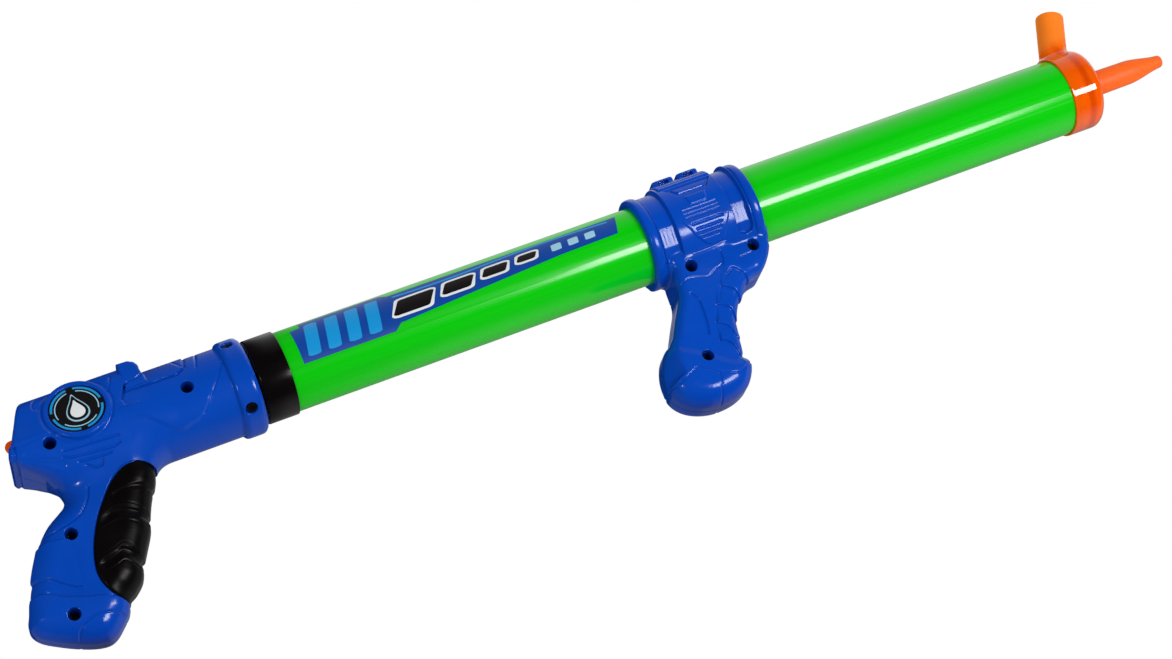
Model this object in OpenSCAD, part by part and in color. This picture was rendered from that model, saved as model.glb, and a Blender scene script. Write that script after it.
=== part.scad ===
// Pump water squirter: a long barrel with a foregrip, a pistol handle on a plunger tube
// that is pulled back to draw water in, and a turning head with two outlets.
// Millimetres. X runs along the barrel towards the jet, Z is up, and the origin lies on
// the barrel axis at the clip seat, just in front of the foregrip.

/* [Barrel] */
// Outside diameter of the barrel tube
barrel_od = 44; // [42:1:48]
// Wall of the barrel tube
barrel_wall = 2; // [1.6:0.1:2.4]
// Length of the barrel tube
barrel_len = 490; // [420:5:560]
// From the clip seat forward to the front end of the tube
clip_to_front = 178; // [160:1:200]

/* [Rear collar] */
// Length of the black collar on the rear end of the tube
collar_len = 17; // [14:1:24]
// End wall of the collar behind the tube
collar_end = 5; // [3:0.5:7]
// How far the collar stands out from the tube
collar_skin = 1.2; // [1:0.1:2.5]

/* [Plunger] */
// Room between the barrel's bore and the plunger tube, filled by the guide bush
bush_room = 5; // [4.5:0.1:6]
// Wall of the plunger tube
plunger_wall = 2; // [1.5:0.1:3]
// Length of the bush that guides the plunger tube
bush_len = 22; // [16:1:30]
// Length of the piston
piston_len = 38; // [30:1:50]
// Thickness of the rubber stop ring in front of the bush
stop_len = 3; // [2:0.5:6]
// Depth of the piston's spigot in the plunger tube
spigot_len = 20; // [14:1:30]
// Diameter of the pin through plunger tube and spigot
pin_d = 4; // [3:0.5:5]
// Free space between the piston and the valve core when pushed in
piston_rest_gap = 4; // [2:0.5:8]

/* [Head] */
// How far the head stands out from the tube
head_skin = 1.2; // [1:0.1:2.5]
// How far the head's rim reaches back over the tube
head_cover = 2.4; // [1.5:0.1:4]
// From the end of the tube to the flat front of the head
head_len = 18; // [17.5:0.5:24]
// Radius of the rounded front edge of the head
head_round = 5; // [3:0.5:5.5]
// Radius of the jet nozzle at its root
jet_root_r = 7.3; // [6.5:0.1:8]
// Radius of the jet nozzle where its point begins
jet_neck_r = 6.9; // [6:0.1:7.5]
// Radius of the jet nozzle behind its rounded tip
jet_tip_r = 4.2; // [3.5:0.1:5]
// Length of the jet nozzle in front of the head
jet_len = 51.5; // [36:0.5:64]
// Length of the pointed part of the jet nozzle
jet_point_len = 18; // [14:1:20]
// Diameter of the jet orifice
jet_bore_d = 3.2; // [2:0.1:4]
// Length of the jet orifice
jet_bore_len = 8; // [5:0.5:12]
// Outside diameter of the wide top spout
spout_od = 16.2; // [15:0.1:18]
// Bore of the wide top spout
spout_bore_d = 12; // [10:0.1:13]
// Height of the spout's end above the barrel axis, along the spout
spout_reach = 52.5; // [46:0.5:58]
// Depth of the spout's wide bore
spout_bore_len = 20; // [12:0.5:22]
// Forward lean of the spout
spout_lean = 22.5; // [15:0.5:25]

/* [Handle] */
// Diameter of the handle's round front part
handle_od = 49.2; // [47:0.2:53]
// Diameter of the band round the handle's mouth
band_od = 53.4; // [52:0.2:60]
// Length of that band
band_len = 14; // [13:0.5:20]
// Wall of the handle's shells
handle_wall = 2.2; // [1.8:0.1:2.6]
// Height of the handle's flat top above the barrel axis
top_z = 29; // [27:0.5:31]
// Half of the grip's width
grip_half_w = 16; // [15:0.5:18]
// Wall of the rubber grip pad
pad_wall = 3.4; // [2.5:0.1:4.5]
// Diameter of the badge on the handle's side
badge_d = 29; // [24:0.5:30]
// Thickness of the badge
badge_t = 1.2; // [0.8:0.1:2]
// Diameter of the orange tip at the handle's back
tip_d = 7; // [5:0.5:9]

/* [Foregrip] */
// From the clip seat back to the middle of the foregrip's collar
foregrip_back = 59; // [55:1:80]
// Length of the foregrip's collar
clamp_len = 67; // [65:1:80]
// Thickness of the collar's middle band over the tube
clamp_band_t = 5.2; // [4.5:0.1:7]
// Thickness of the collar's end flanges over the tube
clamp_flange_t = 3.9; // [3.6:0.1:6]
// Length of each end flange
clamp_flange_len = 8; // [6:0.5:10]
// Thickness of the collar in the grooves beside the flanges
clamp_groove_t = 3; // [2:0.1:3.5]
// Length of each groove
clamp_groove_len = 7; // [5:0.5:9]
// Wall of the foregrip's shells
foregrip_wall = 2.2; // [1.8:0.1:2.6]
// Half of the neck's width
neck_half_w = 14.5; // [13.5:0.5:16]
// Half of the knob's width
knob_half_w = 17; // [16:0.5:19]
// Height of the rail block above the middle band
rail_h = 3.2; // [2.6:0.2:6]

/* [Screws] */
// Diameter of a screw's shank
screw_d = 2.8; // [2.4:0.1:3.2]
// Diameter of a screw's head
screw_head_d = 5.4; // [4.8:0.1:5.8]
// Height of a screw's head
screw_head_h = 2; // [1.4:0.1:2.4]
// Diameter of the recess that a screw's head sits in
recess_d = 6.7; // [6.2:0.1:7.2]

/* [Fits] */
// Radial clearance of a running fit
run_fit = 0.08; // [0.05:0.01:0.1]
// Radial clearance of a glued or pressed fit
seat_fit = 0.05; // [0.03:0.01:0.1]
// Space between the collar and the handle when pushed in
close_gap = 0.3; // [0.2:0.05:1]

/* [Hidden] */
$fn = 64;
eps = 0.01;
far = 400;

green = [0.05, 0.75, 0.08];
blue = [0.02, 0.25, 0.72];
black = [0.04, 0.04, 0.04];
orange = [1.0, 0.42, 0.02];
milky = [0.88, 0.88, 0.86];
rubber = [0.1, 0.1, 0.1];
steel = [0.7, 0.7, 0.72];

// Barrel and what it holds
barrel_r = barrel_od / 2;
bore_r = barrel_r - barrel_wall;
front_x = clip_to_front;
rear_x = front_x - barrel_len;
collar_r = barrel_r + collar_skin;
collar_back_x = rear_x - collar_end;
plunger_r = bore_r - bush_room;
plunger_bore_r = plunger_r - plunger_wall;
guide_r = plunger_r + run_fit;
bush_r = bore_r - seat_fit;
bush_front_x = rear_x + bush_len;
stop_front_x = bush_front_x + stop_len;

// Seal rings: thickness of the round section, and the groove that holds it
ring_d = 1.6;
ring_groove_w = ring_d + 0.2;
wiper_mid_r = plunger_r + run_fit / 2 + ring_d / 2;
wiper_x = rear_x + bush_len / 2;

// Valve core: its spigot in the tube, its flange on the tube's end and the hub the head turns on
core_spigot_len = 18;
core_back_x = front_x - core_spigot_len;
core_flange_len = 1.6;
core_wall = 2.8;
hub_r = bore_r - 2.2;
hub_back_x = front_x + core_flange_len;
head_face_t = 4.2;
hub_front_x = front_x + head_len - head_face_t - close_gap;
hub_face_t = 2.2;
core_ring_mid_r = hub_r + run_fit / 2 - ring_d / 2;
core_ring_xs = [hub_back_x + 1, hub_front_x - hub_face_t - 1];
jet_port_r = 1.9;
jet_port_z = 4.8;

// Head
head_r = barrel_r + head_skin;
head_bore_r = hub_r + run_fit;
head_back_x = front_x - head_cover;
head_face_x = front_x + head_len;
head_step_x = hub_back_x + close_gap;
head_wall_x = hub_front_x + close_gap;
jet_tip_x = head_face_x + jet_len;
jet_tip_round = 2.4;
jet_chamber_r = 4.6;
jet_chamber_x = head_wall_x + 5;
pivot_bite = 3.4;
pivot_len = hub_face_t + 2 * close_gap + pivot_bite;
pivot_head_x = hub_front_x - hub_face_t - close_gap;
spout_port_r = 2.6;
// The spout's axis crosses the hub's surface halfway between the core's two seal rings
spout_port_x = (core_ring_xs[0] + core_ring_xs[1]) / 2;
spout_root = [spout_port_x - hub_r * tan(spout_lean), 0, 0];

// Piston, pushed in
piston_front_x = core_back_x - piston_rest_gap;
piston_back_x = piston_front_x - piston_len;
piston_slack = 0.6;
piston_r = bore_r - piston_slack;
piston_ring_d = 3.6;
piston_ring_mid_r = bore_r - seat_fit - piston_ring_d / 2;
piston_groove_r = piston_ring_mid_r - piston_ring_d / 2 - seat_fit;
piston_groove_w = piston_ring_d + 0.3;
piston_ring_in = 8;
piston_ring_xs = [piston_back_x + piston_ring_in, piston_front_x - piston_ring_in];
pin_x = piston_back_x - spigot_len / 2;
pin_short = 1;

// Handle, placed by the front face of its band
handle_x = collar_back_x - close_gap;
handle_r = handle_od / 2;
band_r = band_od / 2;
rod_end_u = -29;
rod_rib_t = 2.4;
pad_sink = 0.3;
rear_u = -132.5;
step_u = -52;
body_limit = 40;
top_rear_u = -118.5;
// How far the rear face leans forward for each millimetre of height
rear_slope = 0.6;
shoulder_z = 24.5;
sight_h = 3.2;
sight_root = 4;
shoulder_half_w = 17;
top_half_w = 11.5;
side_lean = 17;
badge_at = [-92.3, 11];
tip_at = [-129, 11.5];
tip_in = 9;
tip_sink = 0.5;
tip_flange_r = tip_d / 2 + 2;
tip_flange_t = 2;
handle_bush_len = band_len - 2;
handle_bush_r = handle_r - 4.2;
handle_screw_at = [[-111.4, -1.5], [-36.2, 2.3], [-117.1, -48.2], [-129.7, -88.2]];
collar_screw_angles = [45, 135, 225, 315];
collar_screw_u = -band_len / 2 - 1;
collar_seat_r = handle_r - 1.2;
screw_seat_y = 6;
screw_len = 16;
boss_r = recess_d / 2 + 1.3;
pilot_r = screw_d / 2 + seat_fit;

// Foregrip, placed by the middle of its collar
foregrip_x = -foregrip_back;
clamp_r = barrel_r + seat_fit;
foregrip_screw_at = [[-15.6, -barrel_r - 4.4], [22.6, -barrel_r - 4.4], [-28.4, -76.7]];
// The knob's middle, and the lean of the neck's axis that runs up from it
knob_at = [-30.2, -83];
neck_lean = 22.4;
skirt_half_w = neck_half_w - 0.4;
web_half_w = 8;
rail_at = [-6, 9];
rail_len = 12;
rail_w = 14;
rail_root = 1.5;
rail_hole_d = 5;

// Grip: a raked bar with round front and back, trimmed to its side outline
grip_rake = 30;
grip_depth = 54.5;
grip_at = [-114.4, -64.2];

// Side outlines, as [along X from the sub-assembly's own zero, height above the barrel axis]
grip_outline = [
  [-62, -8], [-106, -8], [-110.8, -24], [-114, -29.5], [-126, -36.5], [-134.2, -45.5],
  [-141.4, -58], [-146, -68], [-150.6, -78], [-153, -84.5], [-147.5, -91.5], [-133.5, -100.5],
  [-119.5, -105.3], [-112.5, -103.3], [-105, -96.5], [-101.2, -89], [-96.6, -84.6], [-91.4, -79.8],
  [-87.1, -68.8], [-83.2, -64.2], [-78.6, -56.5], [-75.8, -48], [-71.8, -39.8], [-66, -28.5]
];
pad_outline = [
  [-55, -22.5], [-74.3, -22.5], [-80.2, -23.7], [-86, -28.8], [-93.9, -36.6], [-101.1, -45.7],
  [-106.6, -55.5], [-109.9, -63.7], [-111.1, -70.3], [-110.8, -77], [-108.3, -83.8], [-102, -88.6],
  [-80, -92], [-55, -60]
];
body_outline = [
  [-20, body_limit], [top_rear_u + (body_limit - top_z) * rear_slope, body_limit], [-128, 13.5],
  [rear_u, -1], [rear_u, -3.5], [-129, -5.5], [-116, -14.5], [-109, -body_limit], [-20, -body_limit]
];
sight_outline = [
  [-50.5, shoulder_z - sight_root], [-51.5, shoulder_z], [-54, top_z], [-58, top_z + sight_h],
  [-65.5, top_z + sight_h], [-66.5, top_z], [-66.5, shoulder_z - sight_root]
];
skirt_outline = [
  [32, -15], [-24, -15], [-23.5, -28.5], [-10, -38], [16, -38.8], [23, -38.3], [28.5, -35],
  [31.3, -30.5], [32, -25]
];
web_outline = [
  [18, -30], [-12, -30], [-12, -68], [-5, -67.5], [-1, -58.5], [4.5, -51.5], [11, -45.5], [18, -38]
];
// Radius of neck and knob at heights along their axis, from the knob's middle
knob_profile = [[-17.5, 12.5], [-14, 18.5], [-8, 23.2], [0, 24.8], [8, 24.4], [12.5, 22], [15, 18.6]];
neck_profile = [[-5, 17], [15, 17.8], [26, 17], [36, 16.6], [46, 17.2], [58, 19]];

// Geometry of outlines
function unit(v) = v / norm(v);
function edge_normal(a, b) = let (t = unit(b - a)) [-t[1], t[0]];
function inset_point(p, q, r, d) =
  let (m = unit(edge_normal(p, q) + edge_normal(q, r)))
  q + m * d / max(0.4, m * edge_normal(q, r));
function inset(pts, d) =
  let (n = len(pts))
  [for (i = [0 : n - 1]) inset_point(pts[(i + n - 1) % n], pts[i], pts[(i + 1) % n], d)];

// Placing and drawing aids
module along_x(x) translate([x, 0, 0]) rotate([0, 90, 0]) children();
module across_y(x) translate([x, 0, 0]) rotate([90, 0, 0]) children();
module side_plate(outline, half_w)
  rotate([90, 0, 0]) linear_extrude(2 * half_w, center = true) polygon(outline);
module right_half() intersection() {
  children();
  translate([-far, -far, -far]) cube([2 * far, far, 2 * far]);
}
module mirrored() mirror([0, 1, 0]) children();
module at_handle() translate([handle_x, 0, 0]) children();
module at_foregrip() translate([foregrip_x, 0, 0]) children();
module at_side(place) translate([place[0], 0, place[1]]) rotate([90, 0, 0]) children();
module pipe(r_out, r_in, len) difference() {
  cylinder(r = r_out, h = len);
  translate([0, 0, -1]) cylinder(r = r_in, h = len + 2);
}
module ring(mid_r, section_d) rotate_extrude() translate([mid_r, 0]) circle(d = section_d);
module groove(r_out, r_in, w) translate([0, 0, -w / 2]) pipe(r_out, r_in, w);

// Bar with round front and back along the grip's raked axis, inset by d
module grip_bar(d) {
  r = grip_half_w - d;
  reach = grip_depth / 2 - grip_half_w;
  translate([grip_at[0], 0, grip_at[1]]) rotate([0, grip_rake, 0]) linear_extrude(far, center = true) {
    square([2 * reach, 2 * r], center = true);
    for (side = [-1, 1])
      translate([side * reach, 0]) circle(r = r);
  }
}

module grip(d) intersection() {
  grip_bar(d);
  side_plate(inset(grip_outline, d), far);
}

// A turned body on the foregrip's leaning axis, flattened to a half width on both sides
module turned_grip(profile, half_w, d) intersection() {
  translate([knob_at[0], 0, knob_at[1]]) rotate([0, neck_lean, 0]) rotate_extrude() polygon(concat(
    [[0, profile[0][0] + d]],
    [for (p = profile) [p[1] - d, p[0] + (p == profile[0] ? d : p == profile[len(profile) - 1] ? -d : 0)]],
    [[0, profile[len(profile) - 1][0] - d]]));
  cube([2 * far, 2 * (half_w - d), 2 * far], center = true);
}

// Pan-head screw along +Z, its head's underside at zero and its shank going down
module screw(len) {
  translate([0, 0, -len]) cylinder(d = screw_d, h = len + eps);
  difference() {
    cylinder(d = screw_head_d, h = screw_head_h);
    for (a = [0, 90])
      rotate(a) translate([-0.35, -1.4, screw_head_h - 1]) cube([0.7, 2.8, 2]);
  }
}

module barrel_tube() color(green)
  along_x(rear_x) pipe(barrel_r, bore_r, barrel_len);

module rear_collar() color(black)
  along_x(collar_back_x) difference() {
    cylinder(r = collar_r, h = collar_len);
    translate([0, 0, -1]) cylinder(r = guide_r, h = collar_len + 2);
    translate([0, 0, collar_end]) cylinder(r = barrel_r + seat_fit, h = collar_len);
  }

module guide_bush() color(milky)
  along_x(rear_x) difference() {
    pipe(bush_r, guide_r, bush_len);
    translate([0, 0, wiper_x - rear_x]) groove(wiper_mid_r + ring_d / 2 + seat_fit, 1, ring_groove_w);
  }

module wiper_ring() color(rubber) along_x(wiper_x) ring(wiper_mid_r, ring_d);

module stop_ring() color(rubber)
  along_x(bush_front_x) pipe(bush_r, guide_r + close_gap, stop_len);

module valve_core() color(milky)
  difference() {
    union() {
      along_x(core_back_x) cylinder(r = bore_r - seat_fit, h = core_spigot_len);
      along_x(front_x) cylinder(r = barrel_r - seat_fit, h = core_flange_len);
      along_x(hub_back_x) cylinder(r = hub_r, h = hub_front_x - hub_back_x);
    }
    along_x(core_back_x - 1) cylinder(r = hub_r - core_wall, h = hub_front_x - hub_face_t - core_back_x + 1);
    for (x = core_ring_xs)
      along_x(x) groove(hub_r + 1, core_ring_mid_r - ring_d / 2 - seat_fit, ring_groove_w);
    across_y(spout_port_x) cylinder(r = spout_port_r, h = 2 * far, center = true);
    along_x(hub_front_x - hub_face_t - 1) {
      translate([-jet_port_z, 0, 0]) cylinder(r = jet_port_r, h = hub_face_t + 2);
      cylinder(r = screw_d / 2 + run_fit, h = hub_face_t + 2);
    }
  }

module core_o_rings() color(rubber)
  for (x = core_ring_xs) along_x(x) ring(core_ring_mid_r, ring_d);

// Outside of the head: rim, rounded front and jet nozzle, turned about the barrel axis
module head_outside() {
  edge_at = [head_r - head_round, head_face_x - head_round];
  tip_at = [jet_tip_r - jet_tip_round, jet_tip_x - jet_tip_round];
  arc = [for (a = [0 : 10 : 90]) edge_at + head_round * [cos(a), sin(a)]];
  tip = [for (a = [0 : 15 : 60]) tip_at + jet_tip_round * [cos(a), sin(a)]];
  rotate([0, 90, 0]) rotate_extrude() polygon(concat(
    [[0, head_back_x], [head_r, head_back_x]], arc,
    [[jet_root_r, head_face_x], [jet_neck_r, jet_tip_x - jet_point_len]], tip,
    [[tip[4][0], jet_tip_x], [0, jet_tip_x]]));
}

module along_spout() translate(spout_root) rotate([0, spout_lean, 0]) children();

module nozzle_head() color(orange)
  difference() {
    union() {
      head_outside();
      along_spout() rotate_extrude() polygon([
        [0, hub_r + 1], [spout_od / 2, hub_r + 1], [spout_od / 2, spout_reach - 2],
        [spout_od / 2 - 0.6, spout_reach - 0.6], [spout_od / 2 - 2, spout_reach], [0, spout_reach]]);
    }
    along_x(head_back_x - 1) cylinder(r = barrel_r + run_fit, h = head_step_x - head_back_x + 1);
    along_x(front_x) cylinder(r = head_bore_r, h = head_wall_x - front_x);
    along_x(head_wall_x - 1) translate([-jet_port_z, 0, 0])
      cylinder(r = jet_port_r, h = jet_chamber_x - head_wall_x + 2);
    along_x(jet_chamber_x) cylinder(r = jet_chamber_r, h = jet_tip_x - jet_point_len - jet_chamber_x);
    along_x(jet_tip_x - jet_point_len)
      cylinder(r1 = jet_chamber_r, r2 = jet_bore_d / 2, h = jet_point_len - jet_bore_len);
    along_x(jet_tip_x - jet_bore_len - eps) cylinder(d = jet_bore_d, h = jet_bore_len + 1);
    along_x(head_wall_x - 1) cylinder(r = pilot_r, h = pivot_bite + 1.2);
    along_spout() translate([0, 0, hub_r - 3]) cylinder(r = spout_port_r, h = spout_reach);
    along_spout() translate([0, 0, spout_reach - spout_bore_len])
      cylinder(d = spout_bore_d, h = spout_bore_len + 1);
  }

module pivot_screw() color(steel)
  translate([pivot_head_x, 0, 0]) rotate([0, -90, 0]) screw(pivot_len);

module plunger_tube() color(black)
  difference() {
    along_x(handle_x + rod_end_u) pipe(plunger_r, plunger_bore_r, piston_back_x - handle_x - rod_end_u);
    across_y(pin_x) cylinder(d = pin_d + 2 * seat_fit, h = 2 * far, center = true);
  }

module piston() color(milky)
  difference() {
    union() {
      along_x(piston_back_x) cylinder(r = piston_r, h = piston_len);
      along_x(piston_back_x - spigot_len) cylinder(r = plunger_bore_r - seat_fit, h = spigot_len + 1);
    }
    for (x = piston_ring_xs) along_x(x) groove(bore_r, piston_groove_r, piston_groove_w);
    along_x((piston_back_x + piston_front_x) / 2) groove(bore_r, piston_groove_r - 2, piston_len / 4);
    across_y(pin_x) cylinder(d = pin_d + 2 * seat_fit, h = 2 * far, center = true);
  }

module piston_rings() color(rubber)
  for (x = piston_ring_xs) along_x(x) ring(piston_ring_mid_r, piston_ring_d);

module piston_pin() color(steel)
  across_y(pin_x) cylinder(d = pin_d, h = 2 * plunger_r - pin_short, center = true);

// Radial screws of the handle's band, each drawn pointing out of the axis
module at_collar_screws()
  for (a = collar_screw_angles)
    translate([handle_x + collar_screw_u, 0, 0]) rotate([a, 0, 0]) rotate([0, 0, 90]) children();

module handle_bush() color(milky)
  difference() {
    along_x(handle_x - 1 - handle_bush_len) pipe(handle_bush_r, plunger_r + seat_fit, handle_bush_len);
    at_collar_screws() translate([0, 0, plunger_r - 1]) cylinder(r = pilot_r, h = far);
  }

// Cross-section of the handle's rear body, inset by d
module body_section(d) {
  circle(r = handle_r - d);
  polygon(inset([
    [shoulder_half_w, shoulder_z], [top_half_w, top_z], [-top_half_w, top_z],
    [-shoulder_half_w, shoulder_z], [-handle_r, 0], [handle_r, 0]], d));
}

// Rear body of the handle, inset by d, up to the step in front of the sight
module handle_body(d) intersection() {
  translate([rear_u - 1, 0, 0]) rotate([90, 0, 90]) linear_extrude(step_u - rear_u + 1) body_section(d);
  side_plate(inset(body_outline, d), far);
}

module handle_outside() {
  handle_body(0);
  rotate([0, 90, 0]) rotate_extrude() polygon([
    [0, step_u], [handle_r, step_u], [handle_r, -band_len - 1.6], [band_r, -band_len],
    [band_r, -2.5], [band_r - 2.5, 0], [0, 0]]);
  grip(0);
  side_plate(sight_outline, top_half_w - 3);
  for (side = [0, 1])
    mirror([0, side, 0]) at_badge() translate([0, 0, -2]) cylinder(d = badge_d + 5, h = 3.2);
}

// Space inside the handle's shells, inset by d from the outside
module handle_cavity(d) {
  handle_body(d);
  rotate([0, 90, 0]) rotate_extrude() polygon([
    [0, step_u - 1], [handle_r - d, step_u - 1], [handle_r - d, -band_len],
    [band_r - d, -band_len + 1.6], [band_r - d, -2 * d], [0, -2 * d]]);
  grip(d);
}

// Bosses for the screws, the rib behind the plunger tube and the seat round the bush
module handle_inside() {
  for (p = handle_screw_at) at_side(p) translate([0, 0, -1]) cylinder(r = boss_r, h = far);
  along_x(rod_end_u - rod_rib_t) cylinder(r = handle_r, h = rod_rib_t);
  along_x(-1 - handle_bush_len) cylinder(r = band_r, h = handle_bush_len);
}

// Middle of the badge's seat, with +Z along its outward normal
module at_badge()
  translate([badge_at[0], badge_at[1] * tan(side_lean) - handle_r, badge_at[1]])
    rotate([90 - side_lean, 0, 0]) children();

// Space that the grip pad fills, below the round body, smaller by d all round
module pad_space(d) difference() {
  side_plate(inset(pad_outline, d), far);
  along_x(-far) cylinder(r = handle_r - pad_sink + d, h = 2 * far);
}

// What both shells of the handle share, as the half on the -Y side
module handle_half() {
  difference() {
    union() {
      difference() {
        right_half() handle_outside();
        handle_cavity(handle_wall);
      }
      intersection() {
        right_half() handle_inside();
        handle_cavity(handle_wall / 2);
      }
    }
    pad_space(0);
    along_x(-band_len) cylinder(r = plunger_r + seat_fit, h = far);
    along_x(-1 - handle_bush_len) cylinder(r = handle_bush_r + seat_fit, h = handle_bush_len);
    at_tip() cylinder(d = tip_d + 2 * seat_fit, h = 2 * tip_d, center = true);
    at_badge() translate([0, 0, 0.2]) cylinder(d = badge_d + 2 * seat_fit, h = far);
  }
}

module handle_collar_holes()
  at_collar_screws() {
    translate([0, 0, collar_seat_r]) cylinder(d = recess_d, h = far);
    cylinder(r = screw_d / 2 + 2 * seat_fit, h = far);
  }

module handle_right() color(blue)
  difference() {
    at_handle() handle_half();
    handle_collar_holes();
    at_handle() for (p = handle_screw_at) at_side(p) {
      translate([0, 0, screw_seat_y]) cylinder(d = recess_d, h = far);
      translate([0, 0, -1]) cylinder(r = screw_d / 2 + 2 * seat_fit, h = far);
    }
  }

module handle_left() color(blue)
  difference() {
    at_handle() mirrored() handle_half();
    handle_collar_holes();
    at_handle() for (p = handle_screw_at) at_side(p)
      translate([0, 0, -screw_len + screw_seat_y - 1]) cylinder(r = pilot_r, h = screw_len);
  }

module handle_screws() color(steel)
  at_handle() for (p = handle_screw_at)
    at_side(p) translate([0, 0, screw_seat_y]) screw(screw_len);

module collar_screws() color(steel)
  at_collar_screws() translate([0, 0, collar_seat_r]) screw(collar_seat_r - plunger_r - 0.8);

module grip_pad() color(rubber)
  at_handle() difference() {
    intersection() {
      grip(0);
      pad_space(seat_fit);
    }
    grip(pad_wall);
  }

// Middle of the tip at the handle's back, with +Z pointing out of the handle
module at_tip() translate([tip_at[0], 0, tip_at[1]]) rotate([0, -90, 0]) children();

module rear_tip() color(orange)
  at_handle() at_tip() {
    translate([0, 0, -tip_in]) cylinder(r = tip_flange_r, h = tip_flange_t);
    rotate_extrude() polygon(concat(
      [[0, tip_flange_t - tip_in - eps], [tip_d / 2, tip_flange_t - tip_in - eps]],
      [for (a = [0 : 15 : 90]) [tip_d / 2 * cos(a), tip_d / 2 * sin(a) - tip_sink]]));
  }

module badge() translate([0, 0, 0.2]) cylinder(d = badge_d, h = badge_t);
module badge_right() color(black) at_handle() at_badge() badge();
module badge_left() color(black) at_handle() mirrored() at_badge() badge();

// Collar round the tube, as one turned ring
module clamp_ring() {
  half = clamp_len / 2;
  band = half - clamp_flange_len - clamp_groove_len;
  flange_r = barrel_r + clamp_flange_t;
  groove_r = barrel_r + clamp_groove_t;
  band_top_r = barrel_r + clamp_band_t;
  rotate([0, 90, 0]) rotate_extrude() polygon([
    [0, -half], [flange_r - 1, -half], [flange_r, 1 - half], [flange_r, clamp_flange_len - half],
    [groove_r, clamp_flange_len + 1 - half], [groove_r, -band - 1], [band_top_r, -band],
    [band_top_r, band], [groove_r, band + 1], [groove_r, half - clamp_flange_len - 1],
    [flange_r, half - clamp_flange_len], [flange_r, half - 1], [flange_r - 1, half], [0, half]]);
}

module rail_block() {
  base_z = barrel_r + clamp_band_t - rail_root;
  for (u = rail_at) translate([u, 0, base_z]) difference() {
    translate([-rail_len / 2, -rail_w / 2, 0]) cube([rail_len, rail_w, rail_h + rail_root]);
    translate([0, 0, rail_h]) cylinder(d = rail_hole_d, h = 2 * rail_root);
  }
}

module foregrip_half() {
  difference() {
    right_half() union() {
      clamp_ring();
      rail_block();
      side_plate(skirt_outline, skirt_half_w);
      side_plate(web_outline, web_half_w);
      turned_grip(neck_profile, neck_half_w, 0);
      turned_grip(knob_profile, knob_half_w, 0);
    }
    difference() {
      union() {
        side_plate(inset(skirt_outline, foregrip_wall), skirt_half_w - foregrip_wall);
        turned_grip(neck_profile, neck_half_w, foregrip_wall);
        turned_grip(knob_profile, knob_half_w, foregrip_wall);
      }
      for (p = foregrip_screw_at) at_side(p) translate([0, 0, -1]) cylinder(r = boss_r, h = far);
      along_x(-clamp_len / 2) cylinder(r = barrel_r + clamp_groove_t, h = clamp_len);
    }
    along_x(-clamp_len) cylinder(r = clamp_r, h = 2 * clamp_len);
  }
}

module foregrip_right() color(blue)
  at_foregrip() difference() {
    foregrip_half();
    for (p = foregrip_screw_at) at_side(p) {
      translate([0, 0, screw_seat_y]) cylinder(d = recess_d, h = far);
      translate([0, 0, -1]) cylinder(r = screw_d / 2 + 2 * seat_fit, h = far);
    }
  }

module foregrip_left() color(blue)
  at_foregrip() difference() {
    mirrored() foregrip_half();
    for (p = foregrip_screw_at) at_side(p)
      translate([0, 0, -screw_len + screw_seat_y - 1]) cylinder(r = pilot_r, h = screw_len);
  }

module foregrip_screws() color(steel)
  at_foregrip() for (p = foregrip_screw_at)
    at_side(p) translate([0, 0, screw_seat_y]) screw(screw_len);

barrel_tube();
rear_collar();
guide_bush();
wiper_ring();
stop_ring();
valve_core();
core_o_rings();
foregrip_right();
foregrip_left();
foregrip_screws();
nozzle_head();
pivot_screw();
plunger_tube();
piston();
piston_rings();
piston_pin();
handle_bush();
handle_right();
handle_left();
handle_screws();
collar_screws();
grip_pad();
rear_tip();
badge_right();
badge_left();
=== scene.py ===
import math

import bmesh
import bpy
import numpy as np
from mathutils import Matrix, Vector


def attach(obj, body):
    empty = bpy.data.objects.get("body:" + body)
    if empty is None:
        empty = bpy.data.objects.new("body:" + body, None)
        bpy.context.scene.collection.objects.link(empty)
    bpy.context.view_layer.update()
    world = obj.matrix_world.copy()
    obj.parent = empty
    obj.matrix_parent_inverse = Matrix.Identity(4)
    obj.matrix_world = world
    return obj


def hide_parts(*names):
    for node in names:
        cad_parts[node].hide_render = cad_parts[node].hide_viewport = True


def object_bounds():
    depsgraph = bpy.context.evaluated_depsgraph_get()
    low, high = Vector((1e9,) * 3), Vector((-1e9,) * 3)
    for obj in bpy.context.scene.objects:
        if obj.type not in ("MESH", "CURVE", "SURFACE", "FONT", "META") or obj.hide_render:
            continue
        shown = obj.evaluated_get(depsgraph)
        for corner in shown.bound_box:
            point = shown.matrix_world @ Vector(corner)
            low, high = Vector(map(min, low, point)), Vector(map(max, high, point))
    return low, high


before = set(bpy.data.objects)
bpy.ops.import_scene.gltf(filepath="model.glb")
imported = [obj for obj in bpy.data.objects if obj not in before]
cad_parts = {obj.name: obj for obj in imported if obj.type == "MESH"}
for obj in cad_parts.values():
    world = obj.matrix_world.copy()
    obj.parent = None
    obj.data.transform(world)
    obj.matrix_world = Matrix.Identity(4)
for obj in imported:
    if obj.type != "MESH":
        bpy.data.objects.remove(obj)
cadLow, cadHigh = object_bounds()
scene = bpy.context.scene
print("frame loaded")

mm = 0.001  # the frame is in metres, the pieces below are drawn in millimetres
handleX, foregripX = -317.3, -59.0  # where u is 0 on the handle and on the foregrip
sides = ((-1.0, "right"), (1.0, "left"))


# Fields are signed distances, negative inside
def softMin(a, b, k):
    h = np.maximum(k - np.abs(a - b), 0.0) / k
    return np.minimum(a, b) - h * h * k * 0.25


def softMax(a, b, k):
    return -softMin(-a, -b, k)


def ease(lo, hi, v):
    t = np.clip((v - lo) / (hi - lo), 0.0, 1.0)
    return t * t * (3.0 - 2.0 * t)


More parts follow.
